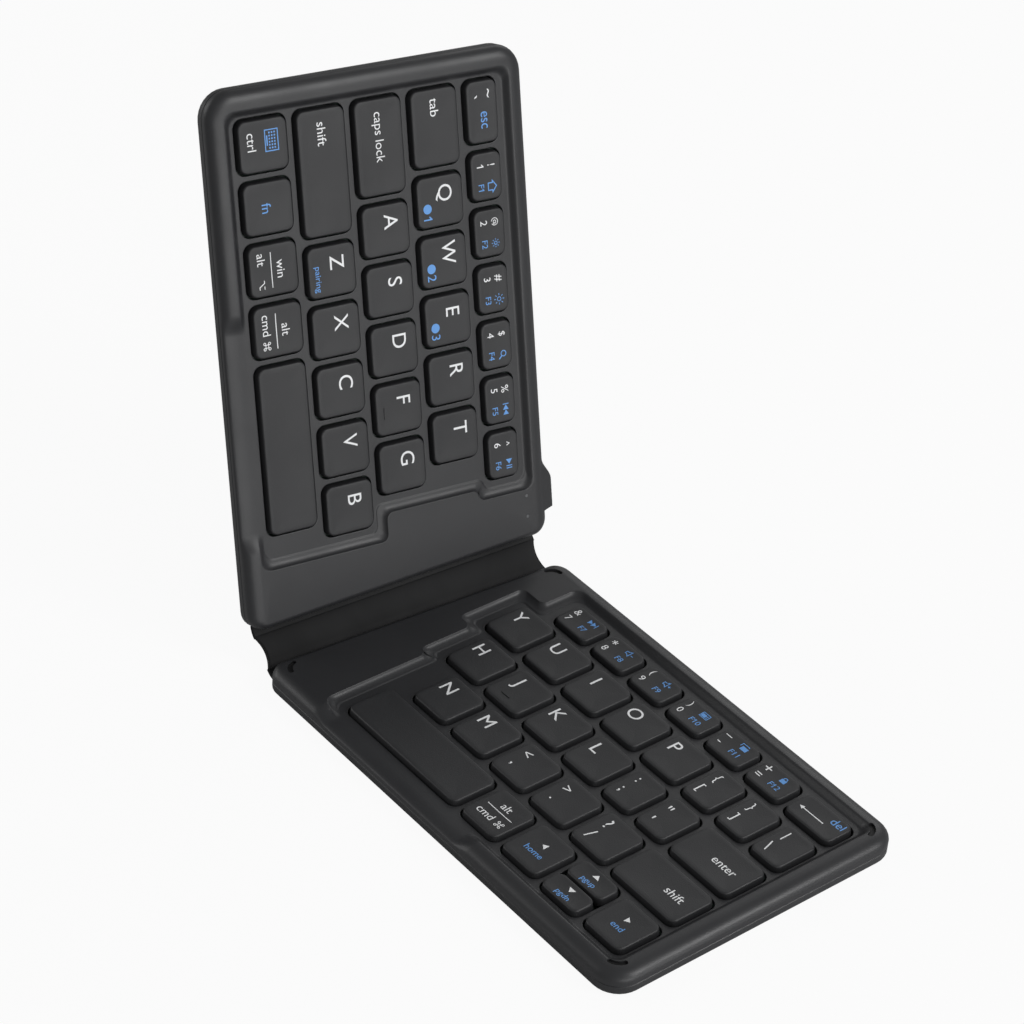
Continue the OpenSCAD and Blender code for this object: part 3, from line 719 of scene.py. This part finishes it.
def arc(r, first=0, last=360, steps=20, at=(0, 0)):
    return [polar(r, radians(t), at) for t in spread(first, last, steps + 1)]


def loop(r, width, at=(0, 0), steps=20):
    return line(arc(r, steps=steps)[:-1], width, closed=True, at=at)


def block(w, h, at=(0, 0)):
    return patch(rectangle(w, h), at)


def frame_line(w, h, width):
    return line(rectangle(w, h), width, closed=True)


def moved(shapes, at):
    return [([(u + at[0], v + at[1]) for u, v in verts], faces) for verts, faces in shapes]


def sun(ring_r, ray_in, ray_out):
    turns = [radians(45 * i) for i in range(8)]
    return [loop(ring_r, 0.2)] + [line([polar(ray_in, t), polar(ray_out, t)], 0.22) for t in turns]


def pointer(way, size=1.0, at=(0, 0)):
    """A filled triangle that points right (way 1) or left (way -1)."""
    tip = 0.75 * way * size
    return patch([(-tip, -size), (tip, 0), (-tip, size)], at)


HOUSE = [(0, 1.45), (1.75, 0.1), (1.1, 0.1), (1.1, -1.35), (-1.1, -1.35), (-1.1, 0.1), (-1.75, 0.1)]
CONE = [(-1.3, -0.5), (-0.6, -0.5), (0.3, -1.2), (0.3, 1.2), (-0.6, 0.5), (-1.3, 0.5)]
SPEAKER, MINUS = [line(CONE, 0.26, True)], block(0.9, 0.24, (1.3, -0.2))
SHACKLE = [(-0.6, 0.1)] + arc(0.6, 180, 0, 8, (0, 0.5)) + [(0.6, 0.1)]
ICONS = {
    "home": [line(HOUSE, 0.32, True)],
    "dim": sun(0.50, 0.95, 1.35),
    "bright": sun(0.62, 1.15, 1.75),
    "search": [loop(0.85, 0.28, (-0.3, 0.35)), line([(0.32, -0.27), (1.3, -1.25)], 0.36)],
    "previous": [block(0.26, 2.0, (-1.75, 0)), pointer(-1, 1, (-0.75, 0)),
                 pointer(-1, 1, (0.8, 0))],
    "play": [pointer(1, 1.05, (-0.8, 0)), block(0.28, 2.0, (0.5, 0)), block(0.28, 2.0, (1.2, 0))],
    "next": [pointer(1, 1, (-0.8, 0)), pointer(1, 1, (0.75, 0)), block(0.26, 2.0, (1.75, 0))],
    "quieter": SPEAKER + [MINUS],
    "louder": SPEAKER + [MINUS, block(0.24, 0.9, (1.3, -0.2))],
    "screen": [frame_line(3.0, 2.1, 0.24), block(1.7, 1.3, (-0.4, -0.1)),
               block(0.24, 1.3, (0.9, -0.1))],
    "screens": [line([(-1.6, -0.1), (-1.6, 1.25), (1.0, 1.25), (1.0, 0.9)], 0.24),
                block(2.4, 1.7, (0.35, -0.45))],
    "lock": [block(2.0, 1.5, (0, -0.55)), line(SHACKLE, 0.3)],
    "disc": [patch(arc(1.45, steps=CIRCLE_STEPS)[:-1])],
    "keys": [frame_line(6.1, 4.1, 0.3)]
    + [block(0.5, 0.45, (-2.2 + 0.88 * i, 1.05 - 0.85 * r)) for r in range(3) for i in range(6)]
    + [block(3.0, 0.42, (0, -1.45))],
    "option": [line([(-1.3, 0.8), (-0.5, 0.8), (0.5, -0.8), (1.3, -0.8)], 0.26),
               block(0.9, 0.26, (0.85, 0.8))],
    "command": [line([(0.45, -0.45), (0.45, 0.45), (-0.45, 0.45), (-0.45, -0.45)], 0.22, True)]
    + [loop(0.36, 0.22, (0.8 * i, 0.8 * j), 12) for i in (-1, 1) for j in (-1, 1)],
    "left": [pointer(-1, 1.1)],
    "right": [pointer(1, 1.1)],
    "up": [patch([(-1.25, -0.7), (1.25, -0.7), (0, 0.9)])],
    "down": [patch([(1.25, 0.7), (-1.25, 0.7), (0, -0.9)])],
    "back": [line([(-4.2, 0), (4.7, 0)], 0.34), patch([(-4.9, 0), (-3.5, 0.75), (-3.5, -0.75)])],
}
# Signs drawn in strokes instead of taken from the font
SIGNS = {
    "@": [line(arc(1.1, -60, 262, 22), 0.2), loop(0.45, 0.2, steps=12),
          line([(0.5, 0.4), (0.52, -0.3), (0.75, -0.5)], 0.2)],
    "*": [line([polar(-1, t), polar(1, t)], 0.28)
          for t in (radians(30 + 60 * i) for i in range(3))],
}
# Heights and widths of signs that differ from those beside them
SIGN_SIZES = {"_": (0.3, 2.4), "^": (1.1, 1.3), "(": (3.1, None), ")": (3.1, None)}
DIGIT_SIZES = {"-": (0.32, 1.3), "=": (1.3, None)}
SIGN_H, DIGIT_H, FUNCTION_H = 2.5, 2.35, 1.95


def icon(name, at):
    return moved(ICONS[name], at)


def number_key(sign, digit, picture, function, us, vs):
    """White sign and digit on the left, blue picture and function number on the right."""
    at = (us[0], vs[0])
    if sign in SIGNS:
        white = moved(SIGNS[sign], at)
    else:
        white = [glyph(sign, *SIGN_SIZES.get(sign, (SIGN_H, None)), at)]
    white.append(glyph(digit, *DIGIT_SIZES.get(digit, (DIGIT_H, None)), (us[0], vs[1])))
    blue = icon(picture, (us[1], vs[0])) + [text(function, FUNCTION_H, at=(us[1], vs[1]))]
    return white, blue


# White and blue drawings of each cap, by (side, row, place). Rows are counted from the back and
# places from the outer end. A dot holds the place of a key that is not a letter.
LEGENDS = {}
LETTERS = {
    "left": [".QWERT", ".ASDFG", ".ZXCVB"],
    "right": ["...POIUY", "...LKJH", "....MN"],
}
LETTER_KEYS = [
    (letter, side, row, place)
    for side, letters in LETTERS.items()
    for row, run in enumerate(letters, 1)
    for place, letter in enumerate(run) if letter != "."
]
LETTER_AT = {"left": (-2.3, 1.8), "right": (-3.6, 2.7)}
for letter, side, row, place in LETTER_KEYS:
    LEGENDS[side, row, place] = ([text(letter, LETTER_H[side], at=LETTER_AT[side])], [])
for i in (1, 2, 3):
    LEGENDS["left", 1, i][1].extend(icon("disc", (1.8, -4.5)) + [text(str(i), 2.9, at=(4.6, -4.5))])
LEGENDS["left", 3, 1][1].append(text("pairing", 1.9, 7.6, (1.9, -4.6)))
PICTURES = ("home", "dim", "bright", "search", "previous", "play", "next", "quieter", "louder",
            "screen", "screens", "lock")
NUMBER_AT = {"left": ((-3.2, 3.3), (1.9, -1.9)), "right": ((-4.6, 1.95), (2.6, -1.4))}
for i, (sign, digit, picture) in enumerate(zip("!@#$%^&*()_+", "1234567890-=", PICTURES), 1):
    side, place = ("left", i) if i < 7 else ("right", 13 - i)
    LEGENDS[side, 0, place] = number_key(sign, digit, picture, f"F{i}", *NUMBER_AT[side])
LEGENDS["left", 0, 0] = ([glyph("~", 0.8, 2.6, (-5.2, 2.3)), glyph("`", 0.9, 1.0, (-4.6, -2.0))],
                         [glyph("esc", 2.25, 5.0, (2.5, 0.5))])
LEGENDS["right", 0, 0] = (icon("back", (-2.2, -0.6)), [text("del", WORD_H, 4.6, (5.4, 2.6))])


def word_on_left(row, string, width, start=4.0):
    """A white word near the left end of the first cap of a row of the left half."""
    w = cap_box("left", row, 0)[2]
    LEGENDS["left", row, 0] = ([text(string, WORD_H, width, (start - w / 2, 0), "left")], [])


word_on_left(1, "tab", 5.4, start=2.9)
word_on_left(2, "caps lock", 14.8)
word_on_left(3, "shift", 6.9)
LEGENDS["left", 4, 0] = ([text("ctrl", WORD_H, at=(-4, -3.8), align="left")],
                         icon("keys", (-1.2, 2.7)))
LEGENDS["left", 4, 1] = ([], [text("fn", 2.9, at=(0, -0.7))])


def two_systems(upper, lower, sign, vs):
    """A word over a rule, and a word with a sign under it. vs are the heights of the three."""
    end = 5.2
    white = [text(upper, 2.6, at=(0, vs[0])), line([(-end, vs[1]), (end, vs[1])], 0.26)]
    white.append(text(lower, 2.6, at=(-end, vs[2]), align="left"))
    return white + icon(sign, (end - 1.2, vs[2] - 0.2)), []


LEGENDS["left", 4, 2] = two_systems("win", "alt", "option", (2.4, -0.7, -3.9))
LEGENDS["left", 4, 3] = two_systems("alt", "cmd", "command", (2.4, -0.7, -3.9))
LEGENDS["right", 4, 3] = two_systems("alt", "cmd", "command", (3.1, 0.36, -2.9))

STACKED_H = {":": 2.3, ";": 2.9, '"': 1.5, "'": 1.5, "<": 2.4, ">": 2.4, ",": 1.2, ".": 0.6,
             "?": 4.0}
STACKED_H.update((sign, 4.2) for sign in "{}[]|\\/")


def stacked(upper, lower, u):
    signs = ((upper, 3.5), (lower, -3.0))
    return [glyph(sign, STACKED_H[sign], None, (u, v)) for sign, v in signs], []


for (row, i), pair in {(1, 2): "{[", (1, 1): "}]", (1, 0): "|\\", (2, 2): ":;", (2, 1): "\"'",
                       (3, 3): "<,", (3, 2): ">.", (3, 1): "?/"}.items():
    LEGENDS["right", row, i] = stacked(*pair, -2.8 if ROWS["right"][row][i] < KEY_W else -3.6)
for row, word in ((2, "enter"), (3, "shift")):
    end = ROWS["right"][row][0] / 2 - 4.8
    LEGENDS["right", row, 0] = ([text(word, WORD_H, at=(end, 0), align="right")], [])
for cap_place, sign, word, height, sign_v, word_v in (
    ((4, 0), "right", "end", 2.1, 2.0, -1.8), ((4, 2), "left", "home", 2.1, 2.0, -1.8),
    ((4, 1, 1), "up", "pgup", 1.9, 1.5, -1.5), ((4, 1, 2), "down", "pgdn", 1.9, 1.2, -1.7),
):
    words = [text(word, height, at=(0, word_v))]
    LEGENDS["right", *cap_place] = (icon(sign, (0, sign_v)), words)
HOMING = {("left", 2, 4): (0.7, -4.9), ("right", 2, 5): (-1.2, -4.3)}
HOMING_W, HOMING_D, HOMING_H, HOMING_ROOT = 3.6, 0.5, 0.22, 0.3
HOMING_R, HOMING_STEPS = HOMING_D / 2 - 0.01, 4
WAY = {"left": -1, "right": 1}  # a legend's u runs outwards on the right half only


def lay(bm, side, box, shapes):
    """Sets flat drawings into a cap's top as thin closed solids."""
    a, b = box[:2]
    for points, faces in shapes:
        used = sorted({i for face in faces for i in face})
        top, low = {}, {}
        for i in used:
            u, v = points[i]
            z = cap_top(box, u, v)
            top[i] = bm.verts.new((a + WAY[side] * u, b + v, z + INK_UP))
            low[i] = bm.verts.new((a + WAY[side] * u, b + v, z - INK_DOWN))
        edges = {}
        for face in faces:
            bm.faces.new([top[i] for i in face])
            bm.faces.new([low[i] for i in reversed(face)])
            for i, j in zip(face, face[1:] + face[:1]):
                edges.setdefault(frozenset((i, j)), []).append((i, j))
        for pair in edges.values():
            if len(pair) == 1:
                i, j = pair[0]
                bm.faces.new([top[j], top[i], low[i], low[j]])


# ---- materials


TONE_DETAIL, GRAIN_DETAIL = 3.0, 2.0
TONE_STOPS = (0.35, 0.65)
TONE_SCALE, GLOSS_SCALE = 30, 69


def new_material(name, **values):
    """A material and its shader. Values that are the same all over go straight to its sockets."""
    material = bpy.data.materials.new(name)
    material.use_nodes = True
    shader = material.node_tree.nodes["Principled BSDF"]
    for socket, value in values.items():
        shader.inputs[socket.replace("_", " ")].default_value = value
    return material, shader


def cloud(tree, scale, detail):
    """Noise that is fixed to the piece."""
    noise = tree.nodes.new("ShaderNodeTexNoise")
    noise.inputs["Scale"].default_value = scale
    noise.inputs["Detail"].default_value = detail
    place = tree.nodes.new("ShaderNodeTexCoord")
    tree.links.new(place.outputs["Object"], noise.inputs["Vector"])
    return noise.outputs["Fac"]


def tone(tree, shader, low, high, scale, socket="Base Color"):
    """Varies a socket between two values over the surface."""
    noise = cloud(tree, scale, TONE_DETAIL)
    ramp = tree.nodes.new("ShaderNodeValToRGB")
    for element, stop, value in zip(ramp.color_ramp.elements, TONE_STOPS, (low, high)):
        element.position = stop
        element.color = (*value, 1) if isinstance(value, tuple) else (value, value, value, 1)
    tree.links.new(noise, ramp.inputs["Fac"])
    tree.links.new(ramp.outputs["Color"], shader.inputs[socket])


def grain(tree, shader, scale, height):
    """Fine relief. height is that of the grain, in metres."""
    noise = cloud(tree, scale, GRAIN_DETAIL)
    bump = tree.nodes.new("ShaderNodeBump")
    bump.inputs["Distance"].default_value = height
    tree.links.new(noise, bump.inputs["Height"])
    tree.links.new(bump.outputs["Normal"], shader.inputs["Normal"])


def textured(name, low, high, rough, spread_rough, scale, height=0.00001, **values):
    """Moulded or painted surface: faint patches of tone and gloss over a fine grain."""
    material, shader = new_material(name, **values)
    tree = material.node_tree
    tone(tree, shader, low, high, TONE_SCALE)
    tone(tree, shader, rough - spread_rough, rough + spread_rough, GLOSS_SCALE, "Roughness")
    grain(tree, shader, scale, height)
    return material


HOUSING = textured("soft_touch_housing", (0.0235, 0.024, 0.0262), (0.0265, 0.027, 0.0292),
                   0.42, 0.03, 3800, 0.00002)
CAPS = textured("key_plastic", (0.0205, 0.021, 0.0228), (0.0235, 0.024, 0.0258),
                0.5, 0.03, 3200, 0.00004)
SPINE_RUBBER = textured("spine_rubber", (0.006, 0.0061, 0.0067), (0.008, 0.0081, 0.0088),
                        0.62, 0.03, 5200, Specular_IOR_Level=0.28)
PAD_RUBBER = textured("pad_rubber", (0.0045, 0.0045, 0.0048), (0.0065, 0.0065, 0.0068),
                      0.62, 0.04, 4200, 0.00003)
PLATE = textured("plate_steel", (0.055, 0.056, 0.058), (0.075, 0.076, 0.078),
                 0.4, 0.05, 900, Metallic=0.6)
MEMBRANE = textured("membrane_film", (0.04, 0.07, 0.055), (0.06, 0.095, 0.075), 0.4, 0.05, 700)
DOMES = textured("dome_rubber", (0.16, 0.16, 0.15), (0.2, 0.2, 0.19), 0.6, 0.05, 2500, 0.00002)
SCISSORS = textured("scissor_plastic", (0.04, 0.04, 0.042), (0.052, 0.052, 0.054), 0.45, 0.04, 2500)
SCREWS = textured("screw_steel", (0.22, 0.22, 0.23), (0.3, 0.3, 0.31),
                  0.36, 0.06, 1600, Metallic=1.0)
FOIL = textured("battery_foil", (0.52, 0.53, 0.55), (0.62, 0.63, 0.65),
                0.32, 0.06, 500, 0.00004, Metallic=1.0)
BOARD = textured("circuit_board", (0.01, 0.05, 0.026), (0.016, 0.068, 0.036), 0.42, 0.04, 900)
PORT = textured("port_steel", (0.48, 0.48, 0.49), (0.56, 0.56, 0.57), 0.3, 0.05, 1500, Metallic=1.0)
LIGHT = textured("light_pipe", (0.085, 0.088, 0.092), (0.12, 0.125, 0.13), 0.3, 0.04, 1500)
CABLE = textured("cable_film", (0.01, 0.009, 0.008), (0.014, 0.0125, 0.011), 0.34, 0.04, 600)
WHITE_INK = textured("white_ink", (0.84, 0.85, 0.86), (0.92, 0.93, 0.94), 0.5, 0.03, 4000)
BLUE_INK = textured("blue_ink", (0.12, 0.335, 0.74), (0.145, 0.375, 0.81), 0.5, 0.03, 4000)

# Materials of the solid model's pieces, by the ends of their names. The others are caps.
LOOKS = {
    "base_plate": PLATE, "membrane": MEMBRANE, "rubber_domes": DOMES, "scissors": SCISSORS,
    "screws": SCREWS, "feet": PAD_RUBBER, "battery": FOIL, "main_board": BOARD,
    "charge_port": PORT, "indicator_lights": LIGHT, "flex_cable": CABLE, "top_frame": HOUSING,
    "bottom_cover": HOUSING, "corner_bumpers": PAD_RUBBER, "spine_band": SPINE_RUBBER,
    "hinge_webs": SPINE_RUBBER,
}
for name, piece in frame["nodes"].items():
    material = next((LOOKS[end] for end in LOOKS if name.endswith(end)), CAPS)
    for slot in piece.material_slots:
        slot.material = material

# ---- housings

for side in ("right", "left"):
    top = to_object(top_frame(side), side + "_housing_top", side, HOUSING)
    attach(top, side + "_half")
    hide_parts(side + "_top_frame")
    bottom = to_object(bottom_cover(side), side + "_housing_bottom", side, HOUSING)
    cut(bottom, cover_pockets(), side)
    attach(bottom, side + "_half")
    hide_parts(side + "_bottom_cover")

# ---- keys

KEY_NODES = {"key_" + key[0].lower(): (key[1], [key[2:]]) for key in LETTER_KEYS}
KEY_NODES.update({
    "left_shift_key": ("left", [(3, 0)]), "left_space_bar": ("left", [(4, 4)]),
    "left_number_keys": ("left", [(0, i) for i in range(7)]),
    "left_side_keys": ("left", [(1, 0), (2, 0)] + [(4, i) for i in range(4)]),
    "right_shift_key": ("right", [(3, 0)]), "enter_key": ("right", [(2, 0)]),
    "right_space_bar": ("right", [(4, 4)]),
    "right_number_keys": ("right", [(0, i) for i in range(7)]),
    "punctuation_keys": ("right", [(1, 0), (1, 1), (1, 2), (2, 1), (2, 2), (3, 1), (3, 2), (3, 3)]),
    "arrow_keys": ("right", [(4, 0), (4, 1, 1), (4, 1, 2), (4, 2), (4, 3)]),
})
BODIES = frame["record"]["behaviour"]["bodies"]
BODY_OF = {node: body for body, nodes in BODIES.items() for node in nodes}

for node, (side, places) in KEY_NODES.items():
    bm = bmesh.new()
    inks = {"white": (bmesh.new(), WHITE_INK), "blue": (bmesh.new(), BLUE_INK)}
    for place in places:
        box = cap_box(side, *place)
        cap(bm, box)
        if (side, *place) in HOMING:
            u, v = HOMING[side, *place]
            a, b = box[0] + WAY[side] * u, box[1] + v
            bar = box_plan(a, b, HOMING_W, HOMING_D, HOMING_R, HOMING_STEPS)
            z = cap_top(box, u, v)
            prism(bm, bar, z - HOMING_ROOT, z + HOMING_H)
        for (ink_bm, _), shapes in zip(inks.values(), LEGENDS.get((side, *place), ())):
            lay(ink_bm, side, box, shapes)
    piece = to_object(bm, node + "_cap", side, CAPS)
    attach(piece, BODY_OF[node])
    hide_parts(node)
    for ink, (ink_bm, material) in inks.items():
        if ink_bm.faces:
            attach(to_object(ink_bm, f"{node}_{ink}_print", side, material), BODY_OF[node])

# ---- scissors, a piece of their own for each key or group of keys


def scissor_part(node, side, places):
    """The scissors of one key or group of keys, as a piece of their own."""
    bm = bmesh.new()
    bm.from_mesh(bpy.data.objects[side + "_scissors"].data)
    to_plan = PLACE[side].inverted()
    boxes = [cap_box(side, *place) for place in places]
    others = []
    for face in bm.faces:
        at = to_plan @ face.calc_center_median()
        if not any(abs(at.x - a) < w / 2 and abs(at.y - b) < d / 2 for a, b, w, d in boxes):
            others.append(face)
    bmesh.ops.delete(bm, geom=others, context="FACES")
    piece = new_piece(bm, node + "_scissor", SCISSORS)
    return piece


for node, (side, places) in KEY_NODES.items():
    piece = scissor_part(node, side, places)
    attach(piece, side + "_half")
    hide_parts(side + "_scissors")
    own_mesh(piece)

# ---- crescent slots in the right half's corners

SLOT_DEPTH, SLOT_FILL = 0.95, 0.7
BUMPER_SWEEP = radians(33)
SLOT_W = BUMPER_W + 0.3
SLOT_PLAY, SLOT_BED, SLOT_OVER = 0.1, 0.02, 1
SWEEP_POINTS, END_STEPS = 17, 8


def crescent_plan(a, b, turn, width):
    """A curved slot with round ends that bulges towards the corner."""
    middle = radians(turn) + pi / 4
    outline = []
    for r, first, last in ((BUMPER_R + width / 2, -1, 1), (BUMPER_R - width / 2, 1, -1)):
        end_t = middle + last * BUMPER_SWEEP
        for t in spread(middle + first * BUMPER_SWEEP, end_t, SWEEP_POINTS):
            outline.append(Vector(polar(r, t, (a, b))))
        end = Vector(polar(BUMPER_R, end_t, (a, b)))
        for k in range(1, END_STEPS):
            spin = end_t + (0 if last > 0 else pi) + pi * k / END_STEPS
            outline.append(end + Vector(polar(1, spin)) * width / 2)
    return outline


slots, fillers = bmesh.new(), bmesh.new()
for a, b, turn in corner_spots(BUMPER_INSET, BUMPER_HINGE_INSET):
    bed_z = RIM_Z - SLOT_DEPTH
    prism(slots, crescent_plan(a, b, turn, SLOT_W), bed_z, RIM_Z + SLOT_OVER)
    filler = crescent_plan(a, b, turn, SLOT_W - SLOT_PLAY)
    prism(fillers, filler, bed_z + SLOT_BED, RIM_Z - SLOT_FILL)
cut(bpy.data.objects["right_housing_top"], slots, "right")
bumpers = to_object(fillers, "corner_slot_rubber", "right", PAD_RUBBER)
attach(bumpers, "right_half")
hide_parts("corner_bumpers")

# ---- spine

SKIN_LEN = BAND_LEN + 2
FOLD_LAP = 0.5
FOLD_STEPS, LAP_STEPS, BAND_STEPS, RIBBON_STEPS = 14, 2, 28, 4
LAP_SHARE = 0.87  # thickness of a skin's end that lies in the half, so that it stays out of sight
STRIP_R, STRIP_R_SHARE = 0.5, 0.85
QUARTER_POINTS, QUARTER_TURN = 6, 18
RIBBON_W, RIBBON_T, RIBBON_REACH = 10.0, 0.2, 8.0


def strip(name, stations, material=SPINE_RUBBER):
    """A band along the fold. A station is (middle point, tilt, half-length, half-thickness)."""
    bm = bmesh.new()
    rings = []
    for (x, z), tilt, half_len, half_t in stations:
        r = min(STRIP_R, half_t * STRIP_R_SHARE)
        section = []
        for cy, cz, first in ((1, 1, 0), (-1, 1, 90), (-1, -1, 180), (1, -1, 270)):
            centre = cy * (half_len - r), cz * (half_t - r)
            for k in range(QUARTER_POINTS):
                section.append(polar(r, radians(first + QUARTER_TURN * k), centre))
        rings.append([bm.verts.new((x - n * sin(tilt), y, z + n * cos(tilt)))
                      for y, n in section])
    closed_loft(bm, rings)
    return to_object(bm, name, "spine", material)


def fold_stations(start_x, way, bend, half_len=SKIN_LEN / 2, half_t=WEB_T / 2, reach=FOLD_LAP):
    """From inside the half's edge round the hinge axis and just into the band."""
    r = EDGE_GAP / tan(bend / 2)
    stations = []
    for i in range(-LAP_STEPS, FOLD_STEPS + 1):
        t = bend * min(max(i, 0), FOLD_STEPS) / FOLD_STEPS
        x, z = r * sin(t), r - r * cos(t)
        lap = FOLD_LAP * min(i, 0) / LAP_STEPS
        thick = half_t if i >= 0 else half_t * LAP_SHARE
        stations.append(((start_x + way * (x + lap), z), way * t, half_len, thick))
    x, z = r * sin(bend), r - r * cos(bend)
    end = (start_x + way * (x + reach * cos(bend)), z + reach * sin(bend))
    return stations + [(end, way * bend, half_len, half_t)]


def band_stations():
    """Across the band between the folds. Its ends curve in, and it is thickest in the middle."""
    w = SPINE_W - 2 * EDGE_GAP
    end_r = (w * w / 4 + BAND_WAIST * BAND_WAIST) / (2 * BAND_WAIST)
    stations = []
    for i in range(BAND_STEPS + 1):
        u = w * (1 - cos(pi * i / BAND_STEPS)) / 2
        across = u - w / 2
        waist = BAND_WAIST - (end_r - sqrt(end_r * end_r - across * across))
        swell = sin(pi * u / w) ** 0.5
        half_t = WEB_T / 2 + (BAND_T - WEB_T) / 2 * swell
        stations.append(((-EDGE_GAP - u, 0), 0, SKIN_LEN / 2 - waist, half_t))
    return stations


def ribbon_stations():
    w = SPINE_W - 2 * (EDGE_GAP + FOLD_LAP)
    places = [-EDGE_GAP - FOLD_LAP - w * i / RIBBON_STEPS for i in range(RIBBON_STEPS + 1)]
    return [((x, 0), 0, RIBBON_W / 2, RIBBON_T / 2) for x in places]


def in_frame(x, z):
    return tuple(PLACE["spine"] @ Vector((x, 0, z)))


band = strip("spine_skin", band_stations())
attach(band, "spine")
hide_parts("spine_band")
middle = strip("flex_ribbon", ribbon_stations(), CABLE)
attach(middle, "spine")
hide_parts("flex_cable")
FOLDS = (("right", -EDGE_GAP, 1, BEND_RIGHT), ("left", EDGE_GAP - SPINE_W, -1, BEND_LEFT))
for side, start_x, way, bend in FOLDS:
    skin = strip(side + "_fold_skin", fold_stations(start_x, way, bend))
    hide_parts("hinge_webs")
    run = fold_stations(start_x, way, bend, RIBBON_W / 2, RIBBON_T / 2, RIBBON_REACH)
    film = strip(side + "_flex_fold", run, CABLE)
    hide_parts("flex_cable")
    at_spine = in_frame(start_x, 0)
    hinge_x = start_x + way * EDGE_GAP
    at_half = in_frame(hinge_x + way * EDGE_GAP * cos(bend), EDGE_GAP * sin(bend))
    for piece in (skin, film):
        if side == "right":
            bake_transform(piece)
        else:
            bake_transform(piece)

# ---- floor, world, lights and camera

FLOOR_SIZE, FLOOR_GREY, FLOOR_ROUGH = 6, 0.62, 0.6
FLOOR_SHARE = 0.94
SKY = 0.24


def seen_white(material, shader, share):
    """Makes a surface plain white, by that share, for the camera's own rays only."""
    nodes, link = material.node_tree.nodes, material.node_tree.links.new
    path = nodes.new("ShaderNodeLightPath")
    part = nodes.new("ShaderNodeMath")
    part.operation = "MULTIPLY"
    link(path.outputs["Is Camera Ray"], part.inputs[0])
    part.inputs[1].default_value = share
    glow = nodes.new("ShaderNodeEmission")
    mix = nodes.new("ShaderNodeMixShader")
    link(part.outputs[0], mix.inputs[0])
    link(shader.outputs["BSDF"], mix.inputs[1])
    link(glow.outputs[0], mix.inputs[2])
    link(mix.outputs[0], nodes["Material Output"].inputs["Surface"])


grey = (FLOOR_GREY, FLOOR_GREY, FLOOR_GREY, 1)
white, shader = new_material("floor_white", Roughness=FLOOR_ROUGH, Base_Color=grey)
seen_white(white, shader, FLOOR_SHARE)
bm = bmesh.new()
bmesh.ops.create_grid(bm, x_segments=2, y_segments=2, size=FLOOR_SIZE)
floor = new_piece(bm, "floor", white)
floor.location.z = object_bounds()[0][2]

world = bpy.data.worlds.new("studio")
bpy.context.scene.world = world
world.use_nodes = True
sky = world.node_tree.nodes["Background"]
sky.inputs["Color"].default_value = (1, 1, 1, 1)
sky.inputs["Strength"].default_value = SKY


def soft_box(name, place, size, power):
    """A rectangular lamp that faces the origin. Metres and watts."""
    lamp = bpy.data.lights.new(name, "AREA")
    lamp.shape = "RECTANGLE"
    lamp.size, lamp.size_y = size
    lamp.energy = power
    box = new_object(name, lamp)
    box.location = place
    box.rotation_euler = (-Vector(place)).to_track_quat("-Z", "Y").to_euler()


soft_box("key_light", (0.95, 0.75, 1.0), (0.5, 0.5), 9)
soft_box("back_light", (-1.4, -1.0, 0.7), (1.0, 1.0), 7)
soft_box("side_panel", (1.46, 0.1, 0.32), (1.5, 0.6), 8.8)
soft_box("far_light", (-0.9, 1.3, 0.9), (0.8, 0.8), 3.4)

# The camera as fitted to the photograph's key centres and outlines
LENS, SENSOR_W, CLIP_START = 117.824, 36, 0.05
CAMERA_AT = (570.931, -452.164, 628.962)
CAMERA_FORWARD = (-0.64539, 0.48171, -0.59281)
CAMERA_UP = (-0.52271, 0.28740, 0.80261)

camera = bpy.data.cameras.new("camera")
camera.lens = LENS
camera.sensor_width = SENSOR_W
camera.clip_start = CLIP_START
view = new_object("camera", camera)
forward = Vector(CAMERA_FORWARD).normalized()
side_axis = forward.cross(Vector(CAMERA_UP).normalized()).normalized()
up = side_axis.cross(forward)
turn = Matrix((side_axis, up, -forward)).transposed().to_4x4()
view.matrix_world = Matrix.Translation(Vector(CAMERA_AT) * MM) @ turn
bpy.context.scene.camera = view
bpy.context.scene.view_settings.view_transform = "Standard"
